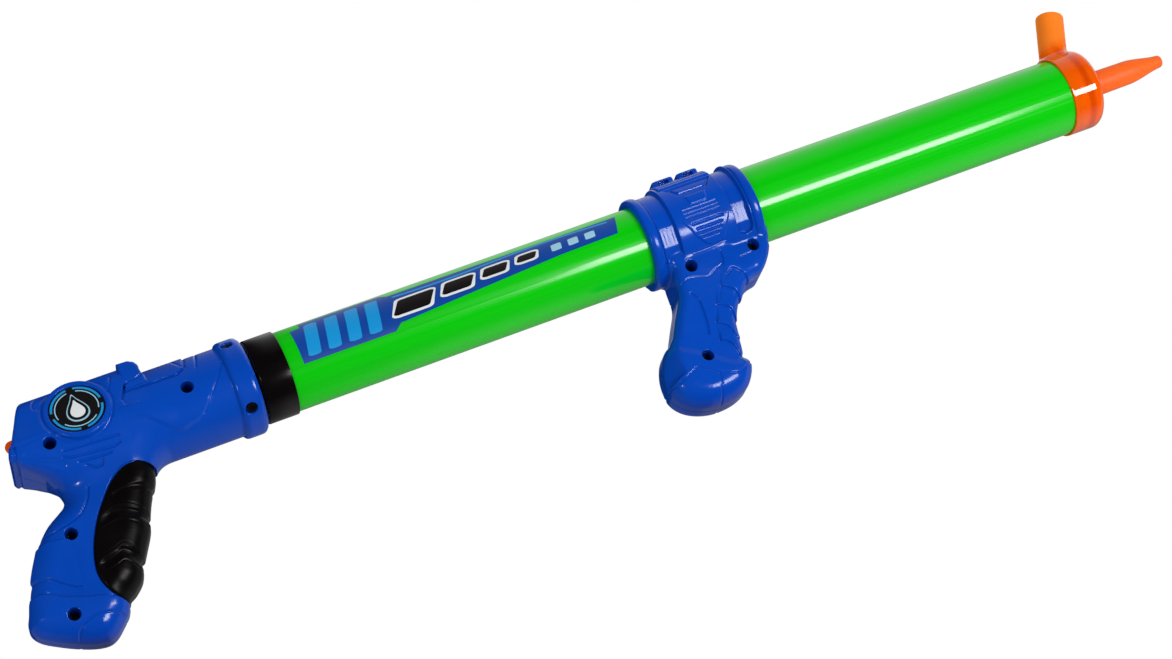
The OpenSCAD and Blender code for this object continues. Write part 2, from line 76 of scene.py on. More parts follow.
def smoothLine(points, closed=False, steps=6):
    p = np.asarray(points, float)
    n = len(p)
    t = (np.arange(steps) / steps)[:, None]
    rows = []
    for i in range(n if closed else n - 1):
        a, b = (p[i - 1], p[i]) if closed else (p[max(i - 1, 0)], p[i])
        c, d = (p[(i + 1) % n], p[(i + 2) % n]) if closed else (p[i + 1], p[min(i + 2, n - 1)])
        rows.append(b + 0.5 * t * (c - a + t * (2 * a - 5 * b + 4 * c - d + t * (3 * b - a - 3 * c + d))))
    if not closed:
        rows.append(p[-1:])
    return np.concatenate(rows)


# Share of a segment that lies nearest to (a, b), and the way from there
def toSegment(a, b, start, end):
    dx, dy = end - start
    da, db = a - start[0], b - start[1]
    t = np.clip((da * dx + db * dy) / max(dx * dx + dy * dy, 1e-9), 0.0, 1.0)
    return t, da - t * dx, db - t * dy


def strokeDistance(a, b, points, closed=False):
    ends = np.roll(points, -1, axis=0) if closed else points[1:]
    best = np.full(a.shape, 1e9)
    for start, end in zip(points, ends):
        _, da, db = toSegment(a, b, start, end)
        best = np.minimum(best, da ** 2 + db ** 2)
    return np.sqrt(best)


def outlineDistance(a, b, points):
    points = np.asarray(points, float)
    inside = np.zeros(a.shape, bool)
    for (x0, y0), (x1, y1) in zip(points, np.roll(points, -1, axis=0)):
        if y0 != y1:
            inside ^= ((y0 > b) != (y1 > b)) & (a < (x1 - x0) * (b - y0) / (y1 - y0) + x0)
    return np.where(inside, -1.0, 1.0) * strokeDistance(a, b, points, True)


# A sheet holds a height over a plane, with the nearness of its edges
def newSheet(low, high, step=0.2, unit=(1.0, 1.0)):
    a = np.arange(low[0], high[0] + step, step)
    b = np.arange(low[1], high[1] + step, step)
    shape = (len(a), len(b))
    return {"low": low, "step": step, "a": a, "b": b, "unit": unit,
            "height": np.zeros(shape), "near": np.full(shape, 30.0)}


def window(sheet, points, margin):
    low, high = points.min(0) - margin, points.max(0) + margin
    ia = slice(*np.searchsorted(sheet["a"], (low[0], high[0])))
    ib = slice(*np.searchsorted(sheet["b"], (low[1], high[1])))
    a, b = np.meshgrid(sheet["a"][ia], sheet["b"][ib], indexing="ij")
    return (ia, ib), a, b


def press(sheet, at, rise, near):
    sheet["height"][at] += rise
    sheet["near"][at] = np.minimum(sheet["near"][at], near)


def groove(sheet, points, width, depth, bend=True):
    points = np.multiply(points, sheet["unit"])
    points = smoothLine(points) if bend else points
    at, a, b = window(sheet, points, width + 3.0)
    d = strokeDistance(a, b, points)
    press(sheet, at, -depth * (1.0 - ease(0.15 * width, 0.62 * width, d)), d - 0.5 * width)


def panel(sheet, points, height, edge):
    points = np.multiply(points, sheet["unit"])
    at, a, b = window(sheet, points, edge + 3.0)
    d = outlineDistance(a, b, points)
    press(sheet, at, height * (1.0 - ease(-0.5 * edge, 0.5 * edge, d)), np.abs(d) - 0.5 * edge)


# A step along an open line: raised on the left of its run, fading away from it
def lip(sheet, points, height, edge, fade):
    points = smoothLine(np.multiply(points, sheet["unit"]))
    at, a, b = window(sheet, points, fade + 2.0)
    best, signed, along = np.full(a.shape, 1e9), np.zeros(a.shape), np.zeros(a.shape)
    for i, (start, end) in enumerate(zip(points, points[1:])):
        t, da, db = toSegment(a, b, start, end)
        d = np.hypot(da, db)
        dx, dy = end - start
        left = dx * (b - start[1]) - dy * (a - start[0]) > 0
        hit = d < best
        best = np.where(hit, d, best)
        signed = np.where(hit, np.where(left, d, -d), signed)
        along = np.where(hit, (i + t) / (len(points) - 1.0), along)
    rise = ease(-0.5 * edge, 0.5 * edge, signed) * (1.0 - ease(0.5, fade, signed))
    press(sheet, at, height * rise * ease(0.0, 0.1, along) * ease(1.0, 0.9, along), best - 0.5 * edge)


def outlineSheet(points, low, high, bend=False):
    sheet = newSheet(low, high, 0.5)
    a, b = np.meshgrid(sheet["a"], sheet["b"], indexing="ij")
    sheet["height"] = outlineDistance(a, b, smoothLine(points, True, 4) if bend else points)
    return sheet


def readSheet(sheet, a, b, key="height"):
    v = sheet[key]
    fa = np.clip((a - sheet["low"][0]) / sheet["step"], 0.0, v.shape[0] - 1.001)
    fb = np.clip((b - sheet["low"][1]) / sheet["step"], 0.0, v.shape[1] - 1.001)
    ia, ib = fa.astype(int), fb.astype(int)
    ta, tb = fa - ia, fb - ib
    return (v[ia, ib] * (1 - ta) + v[ia + 1, ib] * ta) * (1 - tb) + (
        v[ia, ib + 1] * (1 - ta) + v[ia + 1, ib + 1] * ta) * tb


def blurSheet(sheet, rounds=2):
    v = sheet["height"]
    for _ in range(rounds):
        for axis in (0, 1):
            v = 0.25 * np.roll(v, 1, axis) + 0.5 * v + 0.25 * np.roll(v, -1, axis)
    sheet["height"] = v


def roundExtrude(flat, across, half, r):
    q0, q1 = flat + r, across - half + r
    outer = np.sqrt(np.maximum(q0, 0.0) ** 2 + np.maximum(q1, 0.0) ** 2)
    return np.minimum(np.maximum(q0, q1), 0.0) + outer - r


# Cuts away what lies inside both a and b
def carve(f, a, b, k):
    return softMax(f, -np.maximum(a, b), k)


# Along, out from the middle plane and up: one side of a shell stands for both
def folded(p):
    return p[:, 0], np.abs(p[:, 1]), p[:, 2]


# Meshing of a field: surface nets, settled on the field and split where it bends
def gradient(field, p, eps=0.1):
    out = np.zeros_like(p)
    for k in np.array([(1, -1, -1), (-1, -1, 1), (-1, 1, -1), (1, 1, 1)], float):
        out += k * field(p + eps * k)[:, None]
    return out / (4.0 * eps)


def settle(field, p, rounds=2):
    for _ in range(rounds):
        g = gradient(field, p)
        move = field(p)[:, None] * g / np.maximum((g * g).sum(1), 0.05)[:, None]
        p = p - np.clip(move, -0.6, 0.6)
    return p


def netMesh(field, low, high, step):
    axes = [np.arange(l, h + step, step) for l, h in zip(low, high)]
    slabs = []
    for x in axes[0]:
        y, z = np.meshgrid(axes[1], axes[2], indexing="ij")
        p = np.stack([np.full(y.size, x), y.ravel(), z.ravel()], 1)
        slabs.append(field(p).reshape(y.shape))
    v = np.stack(slabs)
    inside = v < 0
    corner = [(i, j, k) for i in (0, 1) for j in (0, 1) for k in (0, 1)]
    size = np.array(v.shape) - 1
    count = sum(inside[i:i + size[0], j:j + size[1], k:k + size[2]].astype(np.int8) for i, j, k in corner)
    cells = np.argwhere((count > 0) & (count < 8))
    number = np.full(size, -1)
    number[tuple(cells.T)] = np.arange(len(cells))
    total, hits = np.zeros((len(cells), 3)), np.zeros(len(cells))
    for c0 in corner:
        for axis in range(3):
            if c0[axis]:
                continue
            c1 = np.array(c0)
            c1[axis] = 1
            v0, v1 = v[tuple((cells + c0).T)], v[tuple((cells + c1).T)]
            cross = (v0 < 0) != (v1 < 0)
            t = v0[cross] / (v0[cross] - v1[cross])
            total[cross] += np.array(c0) + t[:, None] * (c1 - np.array(c0))
            hits[cross] += 1
    points = np.array([a[0] for a in axes]) + step * (cells + total / hits[:, None])
    quads = []
    for axis in range(3):
        b, c = (axis + 1) % 3, (axis + 2) % 3
        first = inside.take(range(size[axis]), axis)
        second = inside.take(range(1, size[axis] + 1), axis)
        at = np.argwhere(first != second)
        at = at[(at[:, b] > 0) & (at[:, c] > 0) & (at[:, b] < size[b]) & (at[:, c] < size[c])]
        outward = first[tuple(at.T)]
        ring = []
        for db, dc in ((1, 1), (0, 1), (0, 0), (1, 0)):
            cell = at.copy()
            cell[:, b] -= db
            cell[:, c] -= dc
            ring.append(number[tuple(cell.T)])
        ring = np.stack(ring, 1)
        quads.append(np.where(outward[:, None], ring, ring[:, ::-1]))
    quads = np.concatenate(quads)
    evenRounds = 3
    for _ in range(evenRounds):
        mean, n = np.zeros_like(points), np.zeros(len(points))
        for k in range(4):
            np.add.at(mean, quads[:, k], points[quads[:, (k + 1) % 4]] + points[quads[:, k - 1]])
            np.add.at(n, quads[:, k], 2)
        points = settle(field, 0.5 * points + 0.5 * mean / np.maximum(n, 1)[:, None])
    straight = np.linalg.norm(points[quads[:, 0]] - points[quads[:, 2]], axis=1) <= np.linalg.norm(
        points[quads[:, 1]] - points[quads[:, 3]], axis=1)
    one = np.where(straight[:, None], quads[:, (0, 1, 2)], quads[:, (0, 1, 3)])
    two = np.where(straight[:, None], quads[:, (0, 2, 3)], quads[:, (1, 2, 3)])
    return points, np.concatenate([one, two])


def splitEdges(field, points, tris, least, turn, near):
    pairs = np.sort(np.concatenate([tris[:, (0, 1)], tris[:, (1, 2)], tris[:, (2, 0)]]), 1)
    edges, back = np.unique(pairs, axis=0, return_inverse=True)
    back = back.reshape(3, -1).T
    g = gradient(field, points)
    g /= np.linalg.norm(g, axis=1)[:, None] + 1e-9
    a, b = points[edges[:, 0]], points[edges[:, 1]]
    bend = (g[edges[:, 0]] * g[edges[:, 1]]).sum(1) < math.cos(math.radians(turn))
    if near is not None:
        bend |= near((a + b) / 2) < least
    flag = bend & (np.linalg.norm(a - b, axis=1) > least)
    number = np.full(len(edges), -1)
    number[flag] = len(points) + np.arange(flag.sum())
    points = np.concatenate([points, settle(field, (a[flag] + b[flag]) / 2)])
    mid = number[back]
    cut = mid >= 0
    many = cut.sum(1)
    out = [tris[many == 0]]
    for shift in range(3):
        i, j, k = shift, (shift + 1) % 3, (shift + 2) % 3
        rows = (many == 1) & cut[:, i]
        t, m = tris[rows], mid[rows, i]
        out += [np.stack([t[:, i], m, t[:, k]], 1), np.stack([m, t[:, j], t[:, k]], 1)]
        rows = (many == 2) & ~cut[:, k]
        t, m, n = tris[rows], mid[rows, i], mid[rows, j]
        out += [np.stack([m, t[:, j], n], 1), np.stack([t[:, i], m, n], 1)]
        out.append(np.stack([t[:, i], n, t[:, k]], 1))
    t, m = tris[many == 3], mid[many == 3]
    out += [np.stack([t[:, i], m[:, i], m[:, i - 1]], 1) for i in range(3)] + [m]
    return points, np.concatenate(out)


def fieldMesh(field, low, high, step, near, levels=2):
    bendAngle, leastEdge = 14.0, 0.62  # edges split where the field turns by more, down to this share
    points, tris = netMesh(field, low, high, step)
    for level in range(levels):
        points, tris = splitEdges(field, points, tris, step * leastEdge / 2 ** level, bendAngle, near)
    return points, tris


def fieldNormals(field, points):
    normals = gradient(field, points)
    return normals / np.linalg.norm(normals, axis=1)[:, None]


def placed(name, data):
    piece = bpy.data.objects.new(name, data)
    scene.collection.objects.link(piece)
    return piece


def newMesh(name, points, faces):
    mesh = bpy.data.meshes.new(name)
    mesh.from_pydata(np.asarray(points).tolist(), [], np.asarray(faces).tolist())
    return mesh


def intoMesh(bm, mesh):
    bm.to_mesh(mesh)
    bm.free()
    return mesh


def smoothAll(mesh):
    mesh.polygons.foreach_set("use_smooth", [True] * len(mesh.polygons))


def fieldPiece(name, field, low, high, step, x0=0.0, near=None, levels=2):
    points, tris = fieldMesh(field, low, high, step, near, levels)
    mesh = newMesh(name, (points + (x0, 0, 0)) * mm, tris)
    smoothAll(mesh)
    mesh.normals_split_custom_set_from_vertices(fieldNormals(field, points).tolist())
    mesh.update()
    return placed(name, mesh)


# One half of a shell: cut at the middle plane, closed there, and turned to its side
def halfPiece(name, field, low, high, step, x0, sign, near):
    cutY, reachY = 0.04, 30.0
    box = (low[0], -2.2 * step, low[1]), (high[0], reachY, high[1])
    mesh = newMesh(name, *fieldMesh(field, *box, step, near))
    bm = bmesh.new()
    bm.from_mesh(mesh)
    bmesh.ops.bisect_plane(bm, geom=bm.verts[:] + bm.edges[:] + bm.faces[:], dist=1e-4,
                           plane_co=(0, cutY, 0), plane_no=(0, -1, 0), clear_outer=True)
    bmesh.ops.holes_fill(bm, edges=[e for e in bm.edges if e.is_boundary], sides=0)
    bm.normal_update()
    caps = [f.normal.y < -0.99 and all(abs(v.co.y - cutY) < 0.01 for v in f.verts) for f in bm.faces]
    if sign < 0:
        bmesh.ops.reverse_faces(bm, faces=bm.faces[:])
    intoMesh(bm, mesh)
    co = np.zeros(len(mesh.vertices) * 3)
    mesh.vertices.foreach_get("co", co)
    co = co.reshape(-1, 3)
    normals = fieldNormals(field, co + (0, 0.02, 0) * (co[:, 1:2] < 0.1))  # read just off the cut
    turn = np.array((1.0, sign, 1.0))
    loops = np.zeros(len(mesh.loops), int)
    mesh.loops.foreach_get("vertex_index", loops)
    sizes = np.zeros(len(mesh.polygons), int)
    mesh.polygons.foreach_get("loop_total", sizes)
    each = (normals * turn)[loops]
    each[np.repeat(caps, sizes)] = (0.0, -sign, 0.0)
    mesh.vertices.foreach_set("co", ((co * turn + (x0, 0, 0)) * mm).ravel())
    smoothAll(mesh)
    mesh.normals_split_custom_set(each.tolist())
    mesh.update()
    return placed(name, mesh)


# A turned piece about the barrel axis, from (x, radius) pairs
def turnedPiece(name, profile):
    around = 192
    profile = np.asarray(profile, float)
    angle = np.linspace(0, 2 * np.pi, around, endpoint=False)
    n = len(profile)
    across, up = (np.outer(profile[:, 1], turn(angle)).ravel() for turn in (np.cos, np.sin))
    points = np.stack([np.repeat(profile[:, 0], around), across, up], 1) * mm
    i, j = np.meshgrid(np.arange(n), np.arange(around), indexing="ij")
    i2, j2 = (i + 1) % n, (j + 1) % around
    faces = np.stack([i * around + j, i * around + j2, i2 * around + j2, i2 * around + j], -1)
    mesh = newMesh(name, points, faces.reshape(-1, 4))
    bm = bmesh.new()
    bm.from_mesh(mesh)
    bmesh.ops.recalc_face_normals(bm, faces=bm.faces[:])
    intoMesh(bm, mesh)
    smoothAll(mesh)
    mesh.set_sharp_from_angle(angle=math.radians(35))
    return placed(name, mesh)


def roundCorners(profile, radii):
    steps = 4
    p = [Vector(q) for q in profile]
    out = []
    for i, r in enumerate(radii):
        a, b, c = p[i - 1], p[i], p[(i + 1) % len(p)]
        if not r:
            out.append(tuple(b))
            continue
        u, w = (a - b).normalized(), (c - b).normalized()
        half = u.angle(w) / 2
        cut = r / math.tan(half)
        mid = b + (u + w).normalized() * (r / math.sin(half))
        first, last = b + u * cut - mid, b + w * cut - mid
        for k in range(steps + 1):
            out.append(tuple(mid + first.lerp(last, k / steps).normalized() * r))
    return out


def rounded(points, r):
    return roundCorners(points, [r] * len(points))


# Materials
def newGroup(name, inputs):
    group = bpy.data.node_groups.new(name, "ShaderNodeTree")
    for label, value in inputs.items():
        kind = "NodeSocketColor" if isinstance(value, tuple) else "NodeSocketFloat"
        group.interface.new_socket(label, in_out="INPUT", socket_type=kind).default_value = value
    group.interface.new_socket("Color", in_out="OUTPUT", socket_type="NodeSocketColor")
    for label in ("Roughness", "Height"):
        group.interface.new_socket(label, in_out="OUTPUT", socket_type="NodeSocketFloat")
    return group, group.nodes.new("NodeGroupInput").outputs, group.nodes.new("NodeGroupOutput").inputs


def node(tree, kind, links=None, **fixed):
    made = tree.nodes.new(kind)
    for key, value in fixed.items():
        setattr(made, key, value)
    for key, value in (links or {}).items():
        if isinstance(value, bpy.types.NodeSocket):
            tree.links.new(value, made.inputs[key])
        else:
            made.inputs[key].default_value = value
    return made


def mapped(tree, scale):
    place = node(tree, "ShaderNodeTexCoord")
    return node(tree, "ShaderNodeMapping", {"Vector": place.outputs["Object"], "Scale": scale}).outputs[0]


def noise(tree, stretch, detail, scale=1.0):
    links = {"Vector": mapped(tree, stretch), "Scale": scale, "Detail": detail}
    return node(tree, "ShaderNodeTexNoise", links).outputs[0]


def ramp(tree, value, low, high, first=0.0, last=1.0, curve="SMOOTHSTEP"):
    links = {"Value": value, "From Min": low, "From Max": high, "To Min": first, "To Max": last}
    return node(tree, "ShaderNodeMapRange", links, interpolation_type=curve).outputs[0]


def tinted(tree, factor, first, last):
    return node(tree, "ShaderNodeMix", {0: factor, 6: first, 7: last}, data_type="RGBA").outputs[2]


def maths(tree, how, a, b=0.0):
    return node(tree, "ShaderNodeMath", {0: a, 1: b}, operation=how).outputs[0]


def largest(tree, first, *others):
    for value in others:
        first = maths(tree, "MAXIMUM", first, value)
    return first


def putOut(group, sockets, **values):
    for key, value in values.items():
        group.links.new(value, sockets[key])


grey, black = (0.5, 0.5, 0.5, 1), (0.0, 0.0, 0.0, 1)
plain = (1, 1, 1)

# Fine grain of moulded plastic, with faint flow shades and handling marks
mouldGrain, given, made = newGroup(
    "mouldGrain", {"Color": grey, "Shade": 0.12, "Roughness": 0.3, "Grain": 900.0, "Wear": 0.08})
flow = noise(mouldGrain, (14, 20, 24), 3.0)
rub = noise(mouldGrain, (60, 90, 130), 5.0)
pits = noise(mouldGrain, plain, 2.0, given["Grain"])
shade = maths(mouldGrain, "MULTIPLY", ramp(mouldGrain, flow, 0.3, 0.72), given["Shade"])
wear = maths(mouldGrain, "MULTIPLY", ramp(mouldGrain, rub, 0.42, 0.75), given["Wear"])
putOut(mouldGrain, made, Color=tinted(mouldGrain, shade, given["Color"], black),
       Roughness=maths(mouldGrain, "ADD", wear, given["Roughness"]),
       Height=maths(mouldGrain, "ADD", pits, maths(mouldGrain, "MULTIPLY", rub, 0.6)))

# Lines drawn along an extruded tube
dieLines, given, made = newGroup("dieLines", {"Color": grey, "Roughness": 0.25})
streak = noise(dieLines, (1.6, 700, 700), 4.0)
wide = noise(dieLines, (3.0, 70, 70), 2.0)
bands = ramp(dieLines, wide, 0.3, 0.75, 0.0, 0.1)
drawn = ramp(dieLines, streak, 0.3, 0.75, -0.04, 0.12)
putOut(dieLines, made, Color=tinted(dieLines, bands, given["Color"], (0.0, 0.12, 0.0, 1)),
       Roughness=maths(dieLines, "ADD", given["Roughness"], drawn),
       Height=maths(dieLines, "ADD", streak, maths(dieLines, "MULTIPLY", wide, 2.0)))


def linear(r, g, b):
    part = [c / 255.0 for c in (r, g, b)]
    return tuple(c / 12.92 if c <= 0.04045 else ((c + 0.055) / 1.055) ** 2.4 for c in part) + (1.0,)


def emptyMaterial(name):
    mat = bpy.data.materials.new(name)
    mat.use_nodes = True
    return mat, mat.node_tree, mat.node_tree.nodes["Principled BSDF"].inputs


# Bump is given as strength and depth
def newMaterial(name, group, rgb, settings, bump, fixed):
    mat, tree, sockets = emptyMaterial(name)
    look = node(tree, "ShaderNodeGroup", {"Color": linear(*rgb), **settings}, node_tree=group).outputs
    dents = {"Height": look["Height"], "Strength": bump[0], "Distance": bump[1] * mm}
    lift = node(tree, "ShaderNodeBump", dents)
    tree.links.new(look["Color"], sockets["Base Color"])
    tree.links.new(look["Roughness"], sockets["Roughness"])
    tree.links.new(lift.outputs[0], sockets["Normal"])
    for key, value in fixed.items():
        sockets[key].default_value = value
    return mat


gloss = {"Specular IOR Level": 0.36}
greenTube = newMaterial("greenTube", dieLines, (2, 198, 4), {"Roughness": 0.16}, (0.3, 0.04),
                        {"Specular IOR Level": 0.6})
blueMould = newMaterial("blueMould", mouldGrain, (1, 70, 183),
                        {"Shade": 0.14, "Roughness": 0.15, "Wear": 0.05}, (0.25, 0.04), gloss)
blackGloss = newMaterial("blackGloss", mouldGrain, (13, 9, 10), {"Shade": 0.3, "Roughness": 0.16},
                         (0.2, 0.04), {"Specular IOR Level": 0.28})
gripRubber = newMaterial("gripRubber", mouldGrain, (11, 8, 9),
                         {"Shade": 0.35, "Roughness": 0.28, "Grain": 1500.0, "Wear": 0.14}, (0.4, 0.05),
                         {"Specular IOR Level": 0.12})
sealRubber = newMaterial("sealRubber", mouldGrain, (26, 25, 25), {"Shade": 0.3, "Roughness": 0.5},
                         (0.4, 0.05), gloss)
milkyPlastic = newMaterial("milkyPlastic", mouldGrain, (226, 226, 220), {"Shade": 0.08, "Roughness": 0.35},
                           (0.3, 0.04), gloss)
screwSteel = newMaterial("screwSteel", mouldGrain, (62, 61, 64),
                         {"Shade": 0.3, "Roughness": 0.38, "Grain": 2400.0}, (0.4, 0.04), {"Metallic": 1.0})

# Orange of the head: clear on the cap, matt on the jet and the spout; the darker band on the ring is painted
# shade of the hub inside, seen through the clear cap
orange = {"spoutZ": (0.022, 0.034), "jetX": (0.194, 0.202), "ringShadeStart": (0.1835, 0.1865),
          "ringShadeEnd": (0.1905, 0.1875), "capRough": 0.06, "outletRough": 0.5, "coat": 0.6,
          "cap": (240, 92, 2), "ring": (214, 72, 2), "jet": (252, 103, 2), "spout": (255, 128, 2)}
orangeClear = newMaterial("orangeClear", mouldGrain, orange["cap"], {"Shade": 0.1, "Wear": 0.03}, (0.1, 0.03),
                          {"Specular IOR Level": 0.42, "Subsurface Weight": 0.35, "Subsurface Scale": 0.006,
                           "Subsurface Radius": (1.0, 0.45, 0.1)})
tree = orangeClear.node_tree
spot = node(tree, "ShaderNodeSeparateXYZ", {0: mapped(tree, plain)}).outputs
toSpout, toJet = ramp(tree, spot["Z"], *orange["spoutZ"]), ramp(tree, spot["X"], *orange["jetX"])
# Band round the ring, painted darker: painted shade of the hub showing through the cap
ringShadeStart, ringShadeEnd = ramp(tree, spot["X"], *orange["ringShadeStart"]), ramp(tree, spot["X"], *orange["ringShadeEnd"])
ring = maths(tree, "MULTIPLY", ringShadeStart, ringShadeEnd)
shades = linear(*orange["cap"])
for share, part in ((ring, "ring"), (toJet, "jet"), (toSpout, "spout")):
    shades = tinted(tree, share, shades, linear(*orange[part]))
outlets = largest(tree, toSpout, toJet)
look = [n for n in tree.nodes if n.type == "GROUP"][0]
tree.links.new(shades, look.inputs["Color"])
rough = ramp(tree, outlets, 0.0, 1.0, orange["capRough"], orange["outletRough"])
tree.links.new(rough, look.inputs["Roughness"])
coat = ramp(tree, outlets, 0.0, 0.5, orange["coat"], 0.0)
tree.links.new(coat, tree.nodes["Principled BSDF"].inputs["Coat Weight"])


def printMaterial(name, *rgb):
    settings = {"Shade": 0.08, "Roughness": 0.3, "Grain": 2000.0}
    return newMaterial(name, mouldGrain, rgb, settings, (0.15, 0.03), gloss)


printBlue = printMaterial("printBlue", 4, 66, 156)
printCyan = printMaterial("printCyan", 8, 146, 214)
printPale = printMaterial("printPale", 150, 200, 220)
printWhite = printMaterial("printWhite", 226, 230, 230)
printDark = printMaterial("printDark", 22, 17, 19)
print("materials ready")


def finishPiece(piece, mats, body, slot, *nodes):
    for mat in mats:
        piece.data.materials.append(mat)
    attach(piece, body)
    if nodes:
        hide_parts(*nodes)


# Two blue half shells from one field, the right one with screw recesses
def shellPair(name, body, settings, x0, low, high, field, near):
    for sign, word in sides:
        shell = halfPiece(name + "Shell_" + word, lambda p: field(p, sign < 0), low, high,
                          settings["step"], x0, sign, near)
        finishPiece(shell, [blueMould], body, "blue_body", name + "_" + word)
        print(name, word, len(shell.data.vertices))


def recessed(f, u, y, z, settings):
    for hu, hz in settings["holes"]:
        f = carve(f, np.hypot(u - hu, z - hz) - settings["holeR"], settings["holeSeat"] - y, 0.5)
    return f


# Handle shells: outlines by (u, z) on the side view
handle = {
    "step": 1.0, "r": 24.6, "bandR": 26.7, "bandBack": -14.2, "bandFront": -1.4, "bore": 15.2,
    "boreBack": -13.0, "crownR": 25.3, "top": 29.0, "lean": math.radians(17.0),
    "cheek": (24.4, 3.2),  # out and up, where the leaning side starts
    "gripHalf": 16.0, "gripR": 12.5, "padBed": 1.3, "tipR": 3.6, "tipDepth": -124.0,
    "badge": (-92.3, 11.7), "badgeRim": 16.1, "badgeLine": 18.5, "badgeSeat": 14.6,
    "bandScrew": (-8.6, 3.25, 23.6),  # u, radius and seat
    "holeR": 3.35, "holeSeat": 6.0,
    "holes": ((-111.4, -1.5), (-36.2, 2.3), (-117.1, -48.2), (-129.7, -88.2)),
    "notches": ((-131.0, -45.0), (-145.0, -64.2), (-148.0, -71.4)),
    "rear": ((-8, 45), (-112.5, 45), (-119.0, 29), (-126.2, 12.5), (-128.8, 5), (-129.6, 3.6),
             (-131.8, 2.6), (-133.2, -1.4), (-132.4, -3.8), (-129.8, -5.6), (-124, -9.8), (-119, -14.2),
             (-115, -20), (-112, -29), (-104, -60), (-8, -60)),
    "plate": ((-160, 60), (-54.4, 60), (-54.4, 25), (-54, 20.5), (-54.8, 19.2), (-58, 17.5),
              (-63.5, 17.2), (-65.3, 16), (-67, 12.5), (-69.4, 8.4), (-69.6, 4), (-60, 2.6), (-22, 2.4),
              (-22, -60), (-160, -60)),
    "crown": ((-70, 12.2), (-55, 11.9), (-38.6, 11.7), (-36, 13.3), (-33.8, 14.6), (-30.6, 26),
              (-30.6, 40), (-70, 40)),
    "grip": ((-66, -8), (-104, -8), (-109.5, -22), (-114, -29.5), (-119.5, -33.2), (-126, -37.3),
             (-131, -42), (-134.4, -46), (-138, -52), (-141.6, -58.3), (-144.2, -63.6), (-146.2, -68.4),
             (-148.2, -72.3), (-150.6, -78.3), (-152.6, -83.2), (-152.2, -87.2), (-148.6, -91.6),
             (-141, -96.4), (-133.4, -100.4), (-125, -103.8), (-117.8, -105.0), (-112.6, -103.2),
             (-107.4, -98.6), (-103.6, -94.6), (-101.6, -90.4), (-100.4, -87.4), (-96.6, -84.8),
             (-91.6, -80), (-88.4, -72.8), (-83.4, -64.6), (-78.8, -56.7), (-75.8, -48), (-71.8, -39.8),
             (-68.2, -34.8), (-65.6, -27)),
    "pad": ((-66, -20), (-74.3, -22.2), (-80, -22.9), (-85.5, -25.8), (-91, -30.6), (-97, -37.6),
            (-103, -46), (-108, -55.6), (-111, -64.4), (-112.2, -71.6), (-111.4, -78), (-108.6, -84),
            (-103.2, -89.6), (-96, -93), (-86, -84), (-79, -70), (-71, -54), (-66, -40), (-63.5, -29)),
    "sight": ((-54.0, 14), (-54.0, 20.5), (-54.6, 24.5), (-56, 27.7), (-59, 29.6), (-65.3, 29.8),
              (-65.5, 14)),
}
handleLow, handleHigh = (-157.0, -108.0), (2.0, 40.0)
rearSheet, sightSheet, plateSheet, crownSheet = (
    outlineSheet(handle[key], handleLow, handleHigh) for key in ("rear", "sight", "plate", "crown"))
gripSheet, padSheet = (outlineSheet(handle[key], handleLow, handleHigh, True) for key in ("grip", "pad"))

# Panel lines and raised panels of the handle's sides
flank = newSheet(handleLow, handleHigh)
lip(flank, ((-80, -1.0), (-75, -1.5), (-68, -2), (-63, -4), (-58, -8), (-53, -12.5), (-49, -15.5),
            (-45, -16.5), (-40, -15.6), (-36.4, -14.8), (-31, -11.8), (-27, -7.4), (-24, -4)),
    0.9, 2.2, 14.0)
groove(flank, ((-33, -13), (-31, -11.8), (-25, -5), (-20, 1), (-16.6, 6), (-14.2, 9.6)), 1.0, 0.45)
groove(flank, ((-38.6, 23.5), (-35.6, 17), (-34.4, 15.2)), 0.8, 0.35, False)
groove(flank, ((-24, 25), (-25.6, 19), (-27.8, 12)), 1.0, 0.35)
lip(flank, ((-140, 3.0), (-128, 3.1), (-119, 3.2), (-110.4, 3.6), (-106, 4.2)), 0.7, 0.8, 12.0)
groove(flank, ((-54.6, 24), (-54.4, 20.8), (-55.4, 19), (-58.4, 17.6), (-63.4, 17.1), (-65.4, 15.8),
               (-67, 12.4), (-69.6, 8)), 1.3, 0.7, False)
groove(flank, ((-67, 12.1), (-55, 11.5), (-38.6, 11.3), (-36, 12.9), (-33.6, 14.4), (-31, 24)),
       1.2, 0.6, False)
groove(flank, ((-105, 26.4), (-110.5, 25.8), (-112.4, 23.5), (-113, 21.3), (-112, 19.5), (-109.4, 18.2)),
       0.9, 0.5)
groove(flank, ((-79, 24.3), (-70.4, 24.3), (-72, 19.5), (-74.4, 15.6)), 0.9, 0.5, False)
for line in (((-106, -7.5), (-100, -8), (-92, -8.3), (-84, -8.7), (-77.4, -9)),
             ((-107.6, -10.4), (-104, -11.6), (-98, -12.3), (-90, -13), (-82, -13.5), (-78, -12.4)),
             ((-100.6, -14.8), (-93, -15.7), (-84, -15.8)),
             ((-98, -17.5), (-94, -20), (-90.6, -19.9), (-89, -17.6))):
    groove(flank, line, 1.4, 0.75)
groove(flank, ((-124, -4.6), (-116, -9), (-108.6, -13.4)), 4.5, 0.5)
